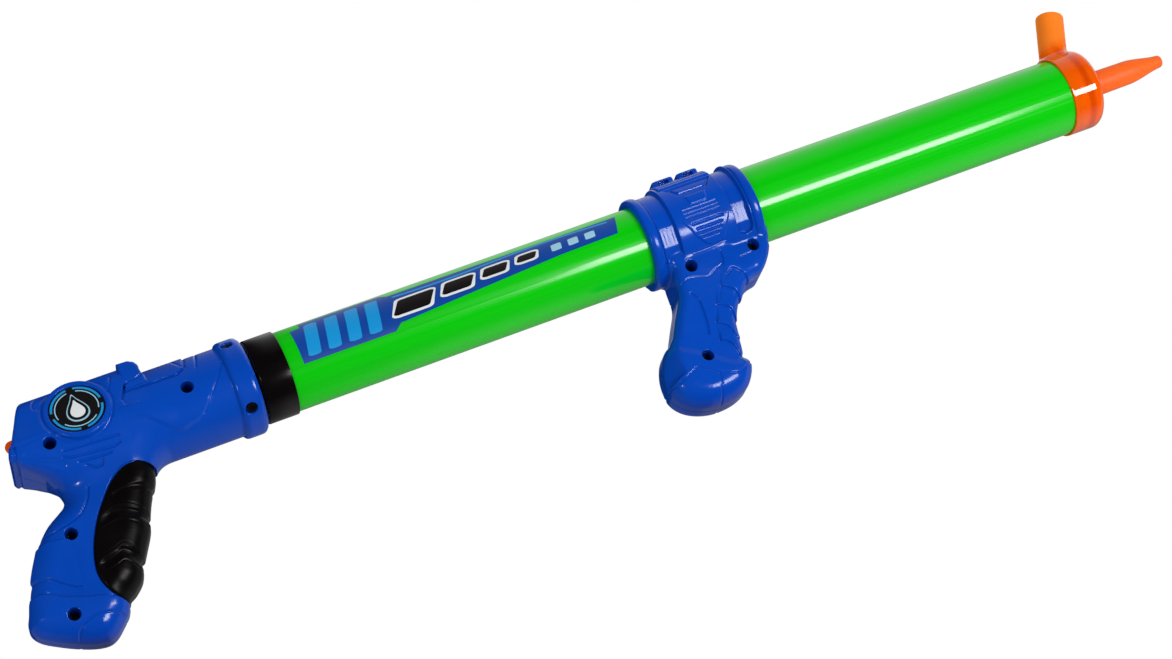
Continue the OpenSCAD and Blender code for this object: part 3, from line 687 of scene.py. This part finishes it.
# Lines of the grip
groove(flank, ((-100.8, -27.5), (-103, -33), (-107, -38), (-110.6, -40.6), (-116, -42.4), (-123, -43.5),
               (-134, -44.6)), 1.3, 0.8)
panel(flank, ((-118.6, -50.5), (-118.7, -62), (-119.3, -70), (-120.4, -76.4), (-124, -75.5), (-130, -71),
              (-134, -67.6), (-139, -65), (-150, -63.6), (-140, -48), (-130, -47.4)), 1.3, 1.0)
groove(flank, ((-152, -70.4), (-147, -71), (-142, -72), (-137, -74.5), (-132, -77.5), (-126, -80),
               (-121, -82), (-113, -84), (-108.6, -86.2)), 1.3, 0.65)
lip(flank, ((-96, -90), (-103, -87.6), (-108.6, -86.2), (-113, -84), (-121, -82), (-126, -80),
            (-132, -77.5), (-137, -74.5), (-142, -72), (-147, -71), (-156, -69.6)), 0.8, 1.0, 11.0)
groove(flank, ((-133, -106), (-131, -99), (-128, -95.5), (-123, -93), (-117, -92.5), (-110, -94),
               (-104, -98)), 1.2, 0.6)
blurSheet(flank)
badgeU, badgeZ = handle["badge"]
cheekY, cheekZ = handle["cheek"]
badgeY = cheekY - (badgeZ - cheekZ) * math.tan(handle["lean"])


def badgeFrame(u, y, z):
    s, c = math.sin(handle["lean"]), math.cos(handle["lean"])
    dy, dz = y - badgeY, z - badgeZ
    return np.hypot(u - badgeU, dz * c - dy * s), dy * c + dz * s


def gripCore(u, y, z):
    return roundExtrude(readSheet(gripSheet, u, z), y, handle["gripHalf"], handle["gripR"])


# Distance from the line down the rear edge
def rearLine(u, z):
    return u + 128.9 - 0.19 * (z - 2.0)


def handleCore(u, y, z):
    rad = np.hypot(y, z)
    circle = rad - handle["r"]
    swell = 0.8 * ease(-82.0, -70.0, u)
    leaning = (y - cheekY - swell + (z - cheekZ) * math.tan(handle["lean"])) * math.cos(handle["lean"])
    shoulder = (y - 17.0) * 0.633 + (z - 24.5) * 0.774
    upper = softMax(softMax(leaning, shoulder, 2.0), z - handle["top"], 2.0)
    back = np.where(z > cheekZ, upper, circle)
    back = softMax(back, readSheet(rearSheet, u, z), 2.4 + 6.5 * ease(2.0, -9.0, z))
    plate = readSheet(plateSheet, u, z)
    back = softMax(back, plate, 0.9)
    front = np.maximum(np.maximum(circle, -1.0 - plate), u - handle["bandFront"])
    crown = np.maximum(softMax(rad - handle["crownR"], readSheet(crownSheet, u, z), 0.5), 0.2 - plate)
    hook = softMax(leaning, readSheet(sightSheet, u, z), 1.4)
    body = np.minimum(np.minimum(back, front), softMin(crown, hook, 0.6))
    band = softMax(rad - handle["bandR"], handle["bandBack"] - u, 3.2)
    body = softMin(body, softMax(band, u - handle["bandFront"], 3.2), 0.9)
    return softMin(body, gripCore(u, y, z), 11.0)


def handleField(p, screwed):
    u, y, z = folded(p)
    facing = ease(3.0, 9.0, y)
    f = handleCore(u, y, z) - readSheet(flank, u, z) * facing
    # Rim, line and seat of the badge
    ring, lift = badgeFrame(u, y, z)
    f = softMin(f, softMax(np.abs(ring - handle["badgeRim"]) - 1.6, np.abs(lift + 3.0) - 4.2, 1.3), 0.7)
    f = f + 0.45 * np.exp(-((ring - handle["badgeLine"]) / 0.7) ** 2) * ease(-4.0, -1.0, lift)
    f = carve(f, ring - handle["badgeSeat"], -0.2 - lift, 0.4)
    # Bed of the pad, notches of the grip's back, and the line down the rear edge
    onGrip = ease(-19.0, -23.0, z) * (1.0 - ease(0.4, 1.6, gripCore(u, y, z)))
    f = f + handle["padBed"] * (1.0 - ease(-0.5, 0.4, readSheet(padSheet, u, z))) * onGrip
    for nu, nz in handle["notches"]:
        f = f + 0.7 * np.exp(-((u - nu) ** 2 + (z - nz) ** 2) / 2.2) * (1.0 - facing * 0.6)
    f = f + 0.8 * np.exp(-(rearLine(u, z) / 0.75) ** 2) * ease(3.4, 2.4, z) * ease(-24.0, -20.0, z)
    # Bore, band screws at 45 degrees, and the rear tip's hole
    rad = np.hypot(y, z)
    f = carve(f, rad - handle["bore"], handle["boreBack"] - u, 0.4)
    screwU, screwR, screwSeat = handle["bandScrew"]
    diagonal = np.hypot(u - screwU, (y - np.abs(z)) * 0.7071)
    f = carve(f, diagonal - screwR, screwSeat - rad, 0.5)
    tip = np.hypot(y, (z - 8.0) * 0.92 + (u + 128) * 0.3)
    f = carve(f, tip - handle["tipR"], u - handle["tipDepth"], 0.4)
    if screwed:
        f = recessed(f, u, y, z, handle)
    return f + 0.22 * (1.0 - ease(0.0, 0.45, y))


def handleNear(p):
    u, y, z = folded(p)
    near = np.where(y > 4.0, readSheet(flank, u, z, "near"), 5.0)
    ring, lift = badgeFrame(u, y, z)
    near = np.minimum(near, np.where(lift > -4.0, np.abs(ring - 16.5) - 2.6, 5.0))
    edge = np.minimum(np.abs(readSheet(crownSheet, u, z)), np.abs(readSheet(plateSheet, u, z)))
    near = np.minimum(near, np.where(z > 3.0, edge - 0.8, np.abs(rearLine(u, z)) - 1.0))
    return np.minimum(near, y - 0.5)


shellPair("handle", "plunger", handle, handleX, handleLow, handleHigh, handleField, handleNear)

# Grip pad with three finger swells
padFolds = newSheet(handleLow, handleHigh)
for fold in (((-73, -55), (-78, -52), (-85, -48), (-92, -45.6), (-101, -47)),
             ((-85, -76), (-89.5, -71.4), (-95, -66.4), (-100, -67.6), (-108, -69.6))):
    fold = np.array(fold)
    groove(padFolds, fold, 5.0, 1.2)
    for shift in (-4.6, -3.0, 3.0, 4.6):
        groove(padFolds, fold[1:] + (0.25 * shift, shift), 0.9, 0.25)
groove(padFolds, ((-66, -39), (-71, -37.6), (-79, -35.6), (-90, -36.4)), 3.0, 0.6)
blurSheet(padFolds)


def padField(p):
    u, y, z = folded(p)
    core = gripCore(u, y, z)
    inner = readSheet(padSheet, u, z) + 0.3
    f = core - 0.35 - 0.5 * ease(0.0, -9.0, inner) - readSheet(padFolds, u, z) * ease(-0.5, -6.0, inner)
    f = softMax(f, inner, 1.8)
    f = softMax(f, z + 21.5, 1.5)
    return softMax(f, -(core + 2.4), 0.5)


padPiece = fieldPiece("gripPadSoft", padField, (-116.0, -19.0, -95.0), (-60.0, 19.0, -18.0), 0.9, handleX,
                      lambda p: readSheet(padFolds, p[:, 0], p[:, 2], "near"), 1)
finishPiece(padPiece, [gripRubber], "plunger", "grip_rubber", "grip_pad")
print("grip pad", len(padPiece.data.vertices))

# Foregrip shells: outlines by (u, z) on the side view
fore = {
    "step": 1.0, "bore": 22.05, "bandR": 27.1, "half": 33.6, "flangeR": 26.4, "flangeU": 26.9, "beadU": 30.4,
    "skirtHalf": 14.2, "neckHalf": 14.6, "knobHalf": 17.0, "flare": 3.4, "lugs": (-6.0, 9.0), "lugZ": 26.0,
    "holeR": 3.35, "holeSeat": 6.0, "holes": ((-15.6, -26.4), (22.6, -26.4), (-28.4, -76.7)),
    "skirt": ((32.6, -12), (-18, -12), (-18, -26), (-12, -34), (2, -37), (10, -39.4), (15.4, -41.4),
              (20.6, -41.6), (24, -39.6), (27.6, -36), (31.4, -30.8), (33, -26)),
    "neck": ((26, -14), (-22, -14), (-25.6, -25), (-26.8, -33), (-28.4, -40), (-34.4, -49.6),
             (-39.6, -58.2), (-44, -66), (-42, -90), (-14, -92), (-9.4, -82), (-7.2, -75), (-5.8, -67.7),
             (-2.5, -59), (3.4, -52), (8.2, -47.2), (13, -43), (24, -36)),
    "knob": ((-39.6, -62.0), (-43.4, -62.4), (-47.2, -64.5), (-50.6, -69), (-53.4, -76.4),
             (-54.4, -84.6), (-53.1, -90.4), (-49.4, -95.6), (-43.6, -99.6), (-36, -102.2),
             (-28, -102.8), (-19.6, -101.6), (-12.6, -98.4), (-7.8, -93), (-5.4, -88), (-6.0, -85),
             (-8.4, -82.4), (-16, -78), (-26, -70)),
}
foreLow, foreHigh = (-58.0, -106.0), (37.0, 34.0)
skirtSheet, neckSheet, knobSheet = (
    outlineSheet(fore[key], foreLow, foreHigh, True) for key in ("skirt", "neck", "knob"))

# Lines of neck and knob, by (u, z)
stem = newSheet(foreLow, foreHigh)
groove(stem, ((2.6, -24), (2.6, -27), (1, -31), (-4, -33), (-9, -35), (-15, -33.4), (-20, -32.6),
              (-25, -34), (-30, -36.4)), 1.1, 0.3)
groove(stem, ((1.5, -20.5), (2.5, -22.2), (2.7, -26), (2.2, -28.8), (1.2, -31.6)), 1.0, 0.45)
ribs = (((1, -38), (5, -35.2), (8, -37), (10.6, -40), (11.8, -44), (11.6, -50)),
        ((-5, -42.5), (-2, -44), (1.5, -47), (3.2, -52), (3, -57)),
        ((-11.5, -51.5), (-8, -53), (-5, -56), (-4, -60), (-3.6, -64)),
        ((-16, -61), (-12, -63.5), (-9.5, -67), (-9, -70), (-8, -74)),
        ((-18.5, -71), (-15, -72.5), (-12.5, -76), (-12, -79), (-11, -83)))
for line in ribs:
    lip(stem, line, 1.0, 0.7, 9.0)
    groove(stem, line, 1.0, 0.4)
groove(stem, ((5, -35.2), (-3, -41), (-8, -48), (-13, -55), (-16.4, -62), (-18.5, -71)), 0.9, 0.3)
groove(stem, ((11, -31), (15.4, -30.4), (20, -30.2)), 1.0, 0.4)
groove(stem, ((-22, -41), (-19.8, -45), (-20, -52), (-21, -59), (-22.6, -65)), 1.8, 0.9)
groove(stem, ((-58, -86.4), (-48, -85.6), (-43, -83.5), (-37, -81), (-31, -85), (-27, -88), (-17, -92),
              (-4, -86)), 1.0, 0.45, False)
groove(stem, ((-27, -88), (-28, -93), (-30, -100), (-31.6, -106)), 1.1, 0.45)
blurSheet(stem)

# Lines of the clamp, by (u, degrees up round the band from the side)
arc = fore["bandR"] * math.pi / 180.0
clamp = newSheet((-36.0, -95.0 * arc), (36.0, 93.0 * arc), unit=(1.0, arc))
panel(clamp, ((-26.8, 95), (-26.8, -46), (-25.4, -52), (-22.2, -54.4), (-19, -52), (-17.2, -46),
              (-17.2, 95)), -2.3, 0.9)
panel(clamp, ((16.8, 95), (16.8, -40), (18.4, -46), (21.2, -48), (24.2, -46), (25.6, -40), (25.6, 95)),
      -2.3, 0.9)
for first, last in ((-26.4, -17.6), (17.2, 25.2)):
    at = slice(*np.searchsorted(clamp["a"], (first, last)))
    swing = np.radians(np.clip(clamp["b"] / arc + 20.0, -60.0, 60.0))
    flat = np.minimum(24.1 / np.cos(swing) - 24.8, 0.0)
    weave = np.sin(2.7 * clamp["a"][at] + 0.6 * np.sin(clamp["a"][at]))[:, None]
    clamp["height"][at] += 0.75 * flat + 0.07 * flat * weave
panel(clamp, ((-12.6, 43), (-8, 26), (10, 26), (15, 43)), -1.0, 0.8)
panel(clamp, ((-9.4, 39), (-6.6, 30), (8.4, 30), (11.6, 39)), 0.9, 0.8)
panel(clamp, ((-5, 20), (7, 20), (5.6, 8), (-4, 8)), 0.6, 0.7)
panel(clamp, ((-13, -10), (-9.5, -20), (-8, -28), (-3, -42), (-1, -44.4), (6.6, -44.4), (8.4, -40),
              (10, -31), (12.6, -22), (14.6, -12)), 0.7, 0.8)
for at, u0, u1 in ((-15.8, -7.6, 10), (-22.6, -6, 8.6), (-28, -6.6, 7.4), (-33.2, -4, 5)):
    groove(clamp, ((u0, at), (u1, at)), 1.5, 0.7, False)
for at in (-7, 3, -2.2):
    groove(clamp, ((-10, at), (10.4, at)), 0.8, 0.4, False)
panel(clamp, ((-15, 110), (-15, 47), (16, 47), (16, 110)), 0.9, 0.8)
for at in (53, 60):
    groove(clamp, ((-14, at), (15, at)), 0.9, 0.6, False)
groove(clamp, ((-12, -48.4), (0, -48), (8, -46)), 1.0, 0.45)
groove(clamp, ((0, -52), (2.5, -58), (3.6, -66)), 1.1, 0.4)
blurSheet(clamp)


def foreField(p, screwed):
    u, y, z = folded(p)
    rad = np.hypot(y, z)
    # Band with a beaded flange at each end
    aroundArc = np.arctan2(z, y) * fore["bandR"]
    bead = np.sqrt(np.maximum(1.0 - ((np.abs(u) - fore["beadU"]) / 3.4) ** 2, 0.0))
    bare = ease(-62.0 * arc, -50.0 * arc, aroundArc)
    flange = fore["flangeR"] + (1.9 * bead - 1.8) * bare
    outer = np.where(np.abs(u) > fore["flangeU"], flange, fore["bandR"])
    on = readSheet(clamp, u, np.maximum(aroundArc, -94.0 * arc)) * ease(-82.0 * arc, -66.0 * arc, aroundArc)
    f = softMax(rad - outer - on, np.abs(u) - fore["half"], 1.6)
    # Skirt, neck and knob
    flare = fore["flare"] * np.clip((z + 50.0) / 30.0, 0.0, 1.0) * (1.0 - 0.7 * ease(4.0, 14.0, u))
    skirt = roundExtrude(readSheet(skirtSheet, u, z), y, fore["skirtHalf"] + flare, 5.0)
    neck = roundExtrude(readSheet(neckSheet, u, z), y, fore["neckHalf"] + flare, 5.5)
    f = softMin(f, softMin(skirt, neck, 1.6), 2.0)
    knob = roundExtrude(readSheet(knobSheet, u, z), y, fore["knobHalf"], 12.0)
    facet = -0.69 * (u + 44.0) + 0.725 * (y - 16.4)
    facet = np.minimum(np.minimum(facet, (z + 84.0 - 0.4 * (u + 50.0)) * 0.93), -69.0 - z)
    f = softMin(f, softMax(knob, facet, 0.5), 1.4)
    f = f - readSheet(stem, u, z) * ease(2.0, 7.0, y) * ease(-20.0, -24.0, z)
    # Lugs on top, each with a hole and two slots
    for mid in fore["lugs"]:
        away = np.abs(u - mid)
        lug = softMax(softMax(away - 6.4, y - 7.4, 1.0), np.abs(z - fore["lugZ"]) - 4.4, 1.0)
        lug = softMax(lug, (away * 0.5 + y * 0.866) - 8.6, 0.8)
        f = softMin(f, lug, 0.8)
        f = carve(f, np.hypot(u - mid, y) - 2.5, 27.6 - z, 0.5)
        f = carve(f, np.maximum(away - 3.0, np.abs(z - 28.2) - 1.0), 4.6 - y, 0.4)
    f = softMax(f, fore["bore"] - rad, 0.3)
    if screwed:
        f = recessed(f, u, y, z, fore)
    return f + 0.2 * (1.0 - ease(0.0, 0.45, y))


def foreNear(p):
    u, y, z = folded(p)
    near = np.where((z < -20.0) & (y > 3.0), readSheet(stem, u, z, "near"), 5.0)
    onClamp = readSheet(clamp, u, np.arctan2(z, y) * fore["bandR"], "near")
    near = np.minimum(near, np.where(np.hypot(y, z) > 24.0, onClamp, 5.0))
    return np.minimum(near, y - 0.5)


shellPair("foregrip", "barrel", fore, foregripX, foreLow, foreHigh, foreField, foreNear)

# Head: cap, jet nozzle and wide spout in one moulding
head = {"back": 175.6, "face": 196.0, "r": 23.2, "round": 5.0, "tip": 247.5, "neck": 229.5, "jetR": 7.3,
        "jetBore": 1.6, "jetMouth": 239.6, "lean": math.radians(22.5), "spoutX": 177.08, "reach": 52.5,
        "spoutR": 8.1, "spoutBore": 6.0, "spoutMouth": 32.6, "tubeBore": 22.08, "tubeSeat": 179.9,
        "coreBore": 17.9, "coreSeat": 191.4}


def headField(p):
    x, y, z = p[:, 0], p[:, 1], p[:, 2]
    r = np.hypot(y, z)
    cap = softMax(roundExtrude(x - head["face"], r, head["r"], head["round"]), head["back"] - x, 0.8)
    width = head["jetR"] - 0.4 * (x - head["face"]) / 33.5 - 2.7 * ease(-6.0, 18.0, x - head["neck"]) * 1.15
    jet = softMax(softMax((r - width) * 0.98, x - head["tip"], 2.2), head["face"] - 6.0 - x, 1.0)
    s, c = math.sin(head["lean"]), math.cos(head["lean"])
    along = (x - head["spoutX"]) * s + z * c
    off = np.hypot((x - head["spoutX"]) * c - z * s, y)
    spout = softMax(softMax(off - head["spoutR"], along - head["reach"], 2.0), 12.0 - along, 1.0)
    f = softMin(softMin(cap, jet, 2.4), spout, 4.0)
    f = carve(f, off - head["spoutBore"], head["spoutMouth"] - along, 0.7)
    f = carve(f, r - head["jetBore"], head["jetMouth"] - x, 0.5)
    f = carve(f, r - head["tubeBore"], x - head["tubeSeat"], 0.2)
    return carve(f, r - head["coreBore"], x - head["coreSeat"], 0.3)


headPiece = fieldPiece("nozzleHead", headField, (173.0, -26.0, -26.0), (250.0, 26.0, 54.0), 0.7)
finishPiece(headPiece, [orangeClear], "head", "orange_head", "nozzle_head")
print("head", len(headPiece.data.vertices))

# Barrel and rear collar, turned
barrel = {"r": 22.0, "bore": 20.0, "rear": -312.0, "front": 178.0, "edge": 0.3}
barrelPiece = turnedPiece("barrelTube", rounded((
    (barrel["rear"], barrel["bore"]), (barrel["rear"], barrel["r"]),
    (barrel["front"], barrel["r"]), (barrel["front"], barrel["bore"])), barrel["edge"]))
finishPiece(barrelPiece, [greenTube], "barrel", "green_tube", "barrel_tube")
collar = {"rear": -317.0, "front": -300.0, "r": 23.2, "bore": 15.1, "seat": -312.05, "seatR": 22.02}
collarPiece = turnedPiece("rearCollar", roundCorners((
    (collar["rear"], collar["bore"]), (collar["rear"], collar["r"]),
    (collar["front"], collar["r"]), (collar["front"], collar["seatR"]),
    (collar["seat"], collar["seatR"]), (collar["seat"], collar["bore"])), (0.4, 1.0, 0.5, 0, 0, 0)))
finishPiece(collarPiece, [blackGloss], "barrel", "black_gloss", "rear_collar")
print("barrel and collar")

# Label of printed patches: outlines by (x, degrees up from the right side)
label = {
    "thick": 0.05, "sunk": 0.02, "over": 0.04, "coreOver": 0.1,  # print above and below the tube's skin
    "strip": ((-292, -17), (-240, -17), (-236, -8), (-140, 8), (-106, 10), (-102, 44), (-236, 46),
              (-240, 56), (-286, 58), (-286, 44), (-292, 42)),
    "bars": (-283, -271.5, -260, -248.5),
    "bar": ((-5.4, -10), (1.8, -10), (6.4, 46), (-0.8, 46)),
    # middle, width and height of each lozenge
    "lozenges": ((-225, 15, 21, 19), (-199, 18.5, 17, 15), (-177, 21.5, 14, 12), (-158, 24, 11, 9.6)),
    "lozengeLean": 0.16, "rim": 1.6, "wave": (40.5, 3.0, 3.4),
    "dashes": (-141, -131, -121),
    "dash": ((-3, 17), (3, 17.6), (4, 30), (-2, 29.4)),
}


def barrelPatch(name, outline, level, mat):
    bm = bmesh.new()
    scale = barrel["r"] * math.pi / 180.0
    bm.faces.new([bm.verts.new((x, a * scale, 0)) for x, a in outline])
    angles = [a for _, a in outline]
    for a in np.arange(math.floor(min(angles)) + 2, max(angles), 2.0):
        bmesh.ops.bisect_plane(bm, geom=bm.verts[:] + bm.edges[:] + bm.faces[:], dist=1e-5,
                               plane_co=(0, a * scale, 0), plane_no=(0, 1, 0))
    made = bmesh.ops.extrude_face_region(bm, geom=bm.faces[:])["geom"]
    upper = {v for v in made if isinstance(v, bmesh.types.BMVert)}
    for v in bm.verts:
        a = v.co.y / barrel["r"]
        r = barrel["r"] + level + label["thick"] if v in upper else barrel["r"] - label["sunk"]
        v.co = Vector((v.co.x, -r * math.cos(a), r * math.sin(a))) * mm
    bmesh.ops.recalc_face_normals(bm, faces=bm.faces[:])
    mesh = intoMesh(bm, bpy.data.meshes.new(name))
    smoothAll(mesh)
    mesh.set_sharp_from_angle(angle=math.radians(30))
    finishPiece(placed(name, mesh), [mat], "barrel", "badge_print")


def patchRow(name, places, shape, r, mat):
    for index, place in enumerate(places):
        outline = rounded([(place + x, a) for x, a in shape], r)
        barrelPatch("%s_%d" % (name, index), outline, label["over"], mat)


barrelPatch("labelStrip", label["strip"], 0.0, printBlue)
patchRow("labelBar", label["bars"], label["bar"], 2.6, printCyan)
middle, swing, wide = label["wave"]
wave = [(x, middle - swing * math.sin((x + 236) / 19.0)) for x in np.linspace(-234, -108, 36)]
barrelPatch("labelWave", wave + [(x, a - wide) for x, a in reversed(wave)], label["over"], printCyan)
layers = ((label["rim"], "over", printWhite, "Rim"), (0.0, "coreOver", printDark, "Core"))
for index, (x, a, w, h) in enumerate(label["lozenges"]):
    for grow, level, mat, word in layers:
        lean = label["lozengeLean"] * h
        x0, x1 = x - w / 2, x + w / 2
        a0, a1 = a - h / 1.6 - 2.2 * grow, a + h / 1.6 + 2.2 * grow
        shape = ((x0 - lean - grow, a0), (x1 - lean + grow, a0),
                 (x1 + lean + grow, a1), (x0 + lean - grow, a1))
        barrelPatch("label%s_%d" % (word, index), rounded(shape, 2.4 + grow), label[level], mat)
patchRow("labelDash", label["dashes"], label["dash"], 1.4, printPale)
print("label")

# Badges: dark disc, cyan ring in four arcs, pale ring in three, and a drop
badge = {
    "mats": [printDark, printCyan, printPale, printWhite],
    "levels": (-0.1, 0.5, 0.62, 0.72, 0.74, 0.84, 0.98), "discR": 14.4, "faceR": 14.1,
    "arcs": (12.5, 13.7, 74, (8, 98, 188, 278)),  # inner and outer radius, sweep and starts in degrees
    "thinArcs": (10.9, 11.5, 96, (-20, 100, 220)),
    "drop": [(0, 8.4), (1.6, 5.4), (3.8, 2.0), (5.2, -1.2), (5.0, -4.2), (3.0, -6.6), (0, -7.4)],
    "dropRim": 1.14, "dropHeart": 0.72, "heartDown": 0.6,
}


def polar(r, turns):
    return [(r * math.cos(t), r * math.sin(t)) for t in turns]


def badgePiece(name, sign):
    bm = bmesh.new()
    foot, step, face, thin, ringTop, dropTop, heartTop = badge["levels"]

    def slab(outline, z0, z1, index):
        lower = [bm.verts.new((a, b, z0)) for a, b in outline]
        upper = [bm.verts.new((a, b, z1)) for a, b in outline]
        faces = [bm.faces.new(upper), bm.faces.new(list(reversed(lower)))]
        for i in range(len(outline)):
            j = (i + 1) % len(outline)
            faces.append(bm.faces.new((lower[i], lower[j], upper[j], upper[i])))
        for made in faces:
            made.material_index = index

    def arcs(r0, r1, sweep, starts, top, index):
        for start in starts:
            turns = np.radians(np.linspace(start, start + sweep, max(6, int(sweep / 4))))
            slab(polar(r1, turns) + polar(r0, turns[::-1]), face, top, index)

    circle = np.radians(np.arange(0, 360, 3))
    slab(polar(badge["discR"], circle), foot, step, 0)
    slab(polar(badge["faceR"], circle), step, face, 0)
    arcs(*badge["arcs"], ringTop, 1)
    arcs(*badge["thinArcs"], thin, 2)
    mirrored = [(-a, b) for a, b in badge["drop"][-2:0:-1]]
    drop = smoothLine(badge["drop"] + mirrored, True, 4)[::-1]
    slab(badge["dropRim"] * drop, face, thin, 2)
    slab(drop, thin, dropTop, 0)
    slab(badge["dropHeart"] * drop - (0, badge["heartDown"]), dropTop, heartTop, 3)
    bmesh.ops.recalc_face_normals(bm, faces=bm.faces[:])
    turn = Matrix.Rotation(math.pi / 2 - handle["lean"], 4, "X")
    bm.transform(Matrix.Translation((handleX + badgeU, -badgeY, badgeZ)) @ turn)
    if sign > 0:
        bm.transform(Matrix.Scale(-1, 4, (0, 1, 0)))
        bmesh.ops.reverse_faces(bm, faces=bm.faces[:])
    bm.transform(Matrix.Scale(mm, 4))
    return placed(name, intoMesh(bm, bpy.data.meshes.new(name)))


for sign, word in sides:
    disc = badgePiece("badgeDisc_" + word, sign)
    finishPiece(disc, badge["mats"], "plunger", "badge_print", "badge_" + word)
print("badges")

# Solids kept as they are, by material
kept = (
    (blackGloss, ("plunger_tube",)),
    (orangeClear, ("rear_tip",)),
    (milkyPlastic, ("piston", "guide_bush", "valve_core", "handle_bush")),
    (sealRubber, ("piston_rings", "wiper_ring", "stop_ring", "core_o_rings")),
    (screwSteel, ("piston_pin", "pivot_screw", "handle_screws", "collar_screws", "foregrip_screws")),
)
for mat, names in kept:
    for name in names:
        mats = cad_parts[name].data.materials
        mats.clear()
        mats.append(mat)
print("kept solids")

# Camera at the photo's place
view = {"lens": 80.0, "sensor": 36.0, "nearest": 0.05,
        "place": ((0.906362, 0.329415, -0.264564, -0.512785), (-0.133571, -0.370658, -0.919114, -1.298760),
                  (-0.400833, 0.868388, -0.291950, -0.447199), (0, 0, 0, 1))}
cameraData = bpy.data.cameras.new("photoCamera")
cameraData.lens, cameraData.sensor_width = view["lens"], view["sensor"]
cameraData.clip_start = view["nearest"]
scene.camera = placed("photoCamera", cameraData)
scene.camera.matrix_world = Matrix(view["place"])


def areaLight(name, at, towards, size, power, mirrored=True):
    data = bpy.data.lights.new(name, "AREA")
    data.shape, data.size, data.size_y, data.energy = "RECTANGLE", size[0], size[1], power
    lamp = placed(name, data)
    lamp.location = at
    lamp.rotation_euler = (Vector(towards) - Vector(at)).to_track_quat("-Z", "Y").to_euler()
    lamp.visible_camera, lamp.visible_glossy = False, mirrored


areaLight("softBox", (0.57, -1.27, -0.55), (0.1, 0.0, 0.0), (0.75, 0.36), 14.4)
areaLight("sparkLeft", (-1.4, -1.2, -0.25), (-0.4, 0.0, -0.05), (0.14, 0.14), 2.5)
areaLight("fillAbove", (-0.35, -0.1, 1.9), (-0.1, 0.0, 0.0), (1.6, 1.2), 9.0, False)
areaLight("fillBehind", (-0.1, 1.7, 1.1), (-0.1, 0.0, 0.0), (2.2, 1.2), 18.0, False)

# White to the eye and in mirrors, dimmer as a light
world = bpy.data.worlds.new("studio")
scene.world = world
world.use_nodes = True
sky = world.node_tree
backdrop = sky.nodes["Background"].inputs
ray = sky.nodes.new("ShaderNodeLightPath").outputs
seen = largest(sky, ray["Is Camera Ray"], ray["Is Glossy Ray"], ray["Is Transmission Ray"])
backdrop["Color"].default_value = (1, 1, 1, 1)
sky.links.new(ramp(sky, seen, 0.0, 1.0, 0.46, 1.0, "LINEAR"), backdrop["Strength"])

# Pale floor, seen from above only, so that the photo's low view looks past it
floorZ, floorHalf = float(cadLow[2]), 3.0
corners = [(a * floorHalf, b * floorHalf, floorZ) for a, b in ((-1, -1), (1, -1), (1, 1), (-1, 1))]
floor = placed("floor", newMesh("floor", corners, [(0, 1, 2, 3)]))
floorMat, tree, sockets = emptyMaterial("paleFloor")
mottle = ramp(tree, noise(tree, (3, 3, 3), 2.0), 0.3, 0.7)
tree.links.new(tinted(tree, mottle, (0.84, 0.84, 0.84, 1), (0.87, 0.87, 0.87, 1)), sockets["Base Color"])
sockets["Roughness"].default_value = 0.9
sockets["Specular IOR Level"].default_value = 0.1
ray = tree.nodes.new("ShaderNodeLightPath").outputs
behind = tree.nodes.new("ShaderNodeNewGeometry").outputs["Backfacing"]
reach = node(tree, "ShaderNodeVectorMath", {0: mapped(tree, (1, 1, 0))}, operation="LENGTH").outputs["Value"]
away = largest(tree, ray["Is Shadow Ray"], ray["Is Glossy Ray"], ray["Is Transmission Ray"], behind,
               ramp(tree, reach, 0.9, 2.9))
clear = tree.nodes.new("ShaderNodeBsdfTransparent")
solid = tree.nodes["Principled BSDF"]
mix = node(tree, "ShaderNodeMixShader", {0: away, 1: solid.outputs[0], 2: clear.outputs[0]})
tree.links.new(mix.outputs[0], tree.nodes["Material Output"].inputs["Surface"])
floor.data.materials.append(floorMat)

# Studio walls, met by reflections only: dark in front and on the left, pale above, below and behind
bm = bmesh.new()
bmesh.ops.create_uvsphere(bm, u_segments=48, v_segments=24, radius=3.4)
walls = placed("studioWalls", intoMesh(bm, bpy.data.meshes.new("studioWalls")))
wallMat, tree, sockets = emptyMaterial("studioWalls")
wallMat.cycles.emission_sampling = "NONE"
spot = node(tree, "ShaderNodeSeparateXYZ", {0: mapped(tree, plain)}).outputs
turn = maths(tree, "ARCTAN2", spot["Z"], maths(tree, "MULTIPLY", spot["Y"], -1.0))
rearFade = ramp(tree, maths(tree, "ABSOLUTE", turn), 2.15, 2.9, 1.0, 0.3)
across = maths(tree, "MULTIPLY", ramp(tree, spot["X"], -0.07, 0.34), rearFade)
upper = maths(tree, "MULTIPLY", across, ramp(tree, turn, 0.7, 2.0, 0.0, 0.9, "LINEAR"))
lifted = maths(tree, "ADD", maths(tree, "MULTIPLY", across, 0.65), 0.35)
lower = maths(tree, "MULTIPLY", lifted, ramp(tree, turn, -1.3, -1.85, 0.0, 0.5, "LINEAR"))
pale = tinted(tree, maths(tree, "ADD", upper, lower), (0.004, 0.004, 0.004, 1), (1, 1, 1, 1))
tree.links.new(pale, sockets["Emission Color"])
sockets["Emission Strength"].default_value = 1.0
sockets["Base Color"].default_value = black
sockets["Specular IOR Level"].default_value = 0.0
walls.data.materials.append(wallMat)
walls.visible_camera = walls.visible_diffuse = walls.visible_shadow = walls.visible_transmission = False
scene.view_settings.view_transform = "Standard"
print("stage")
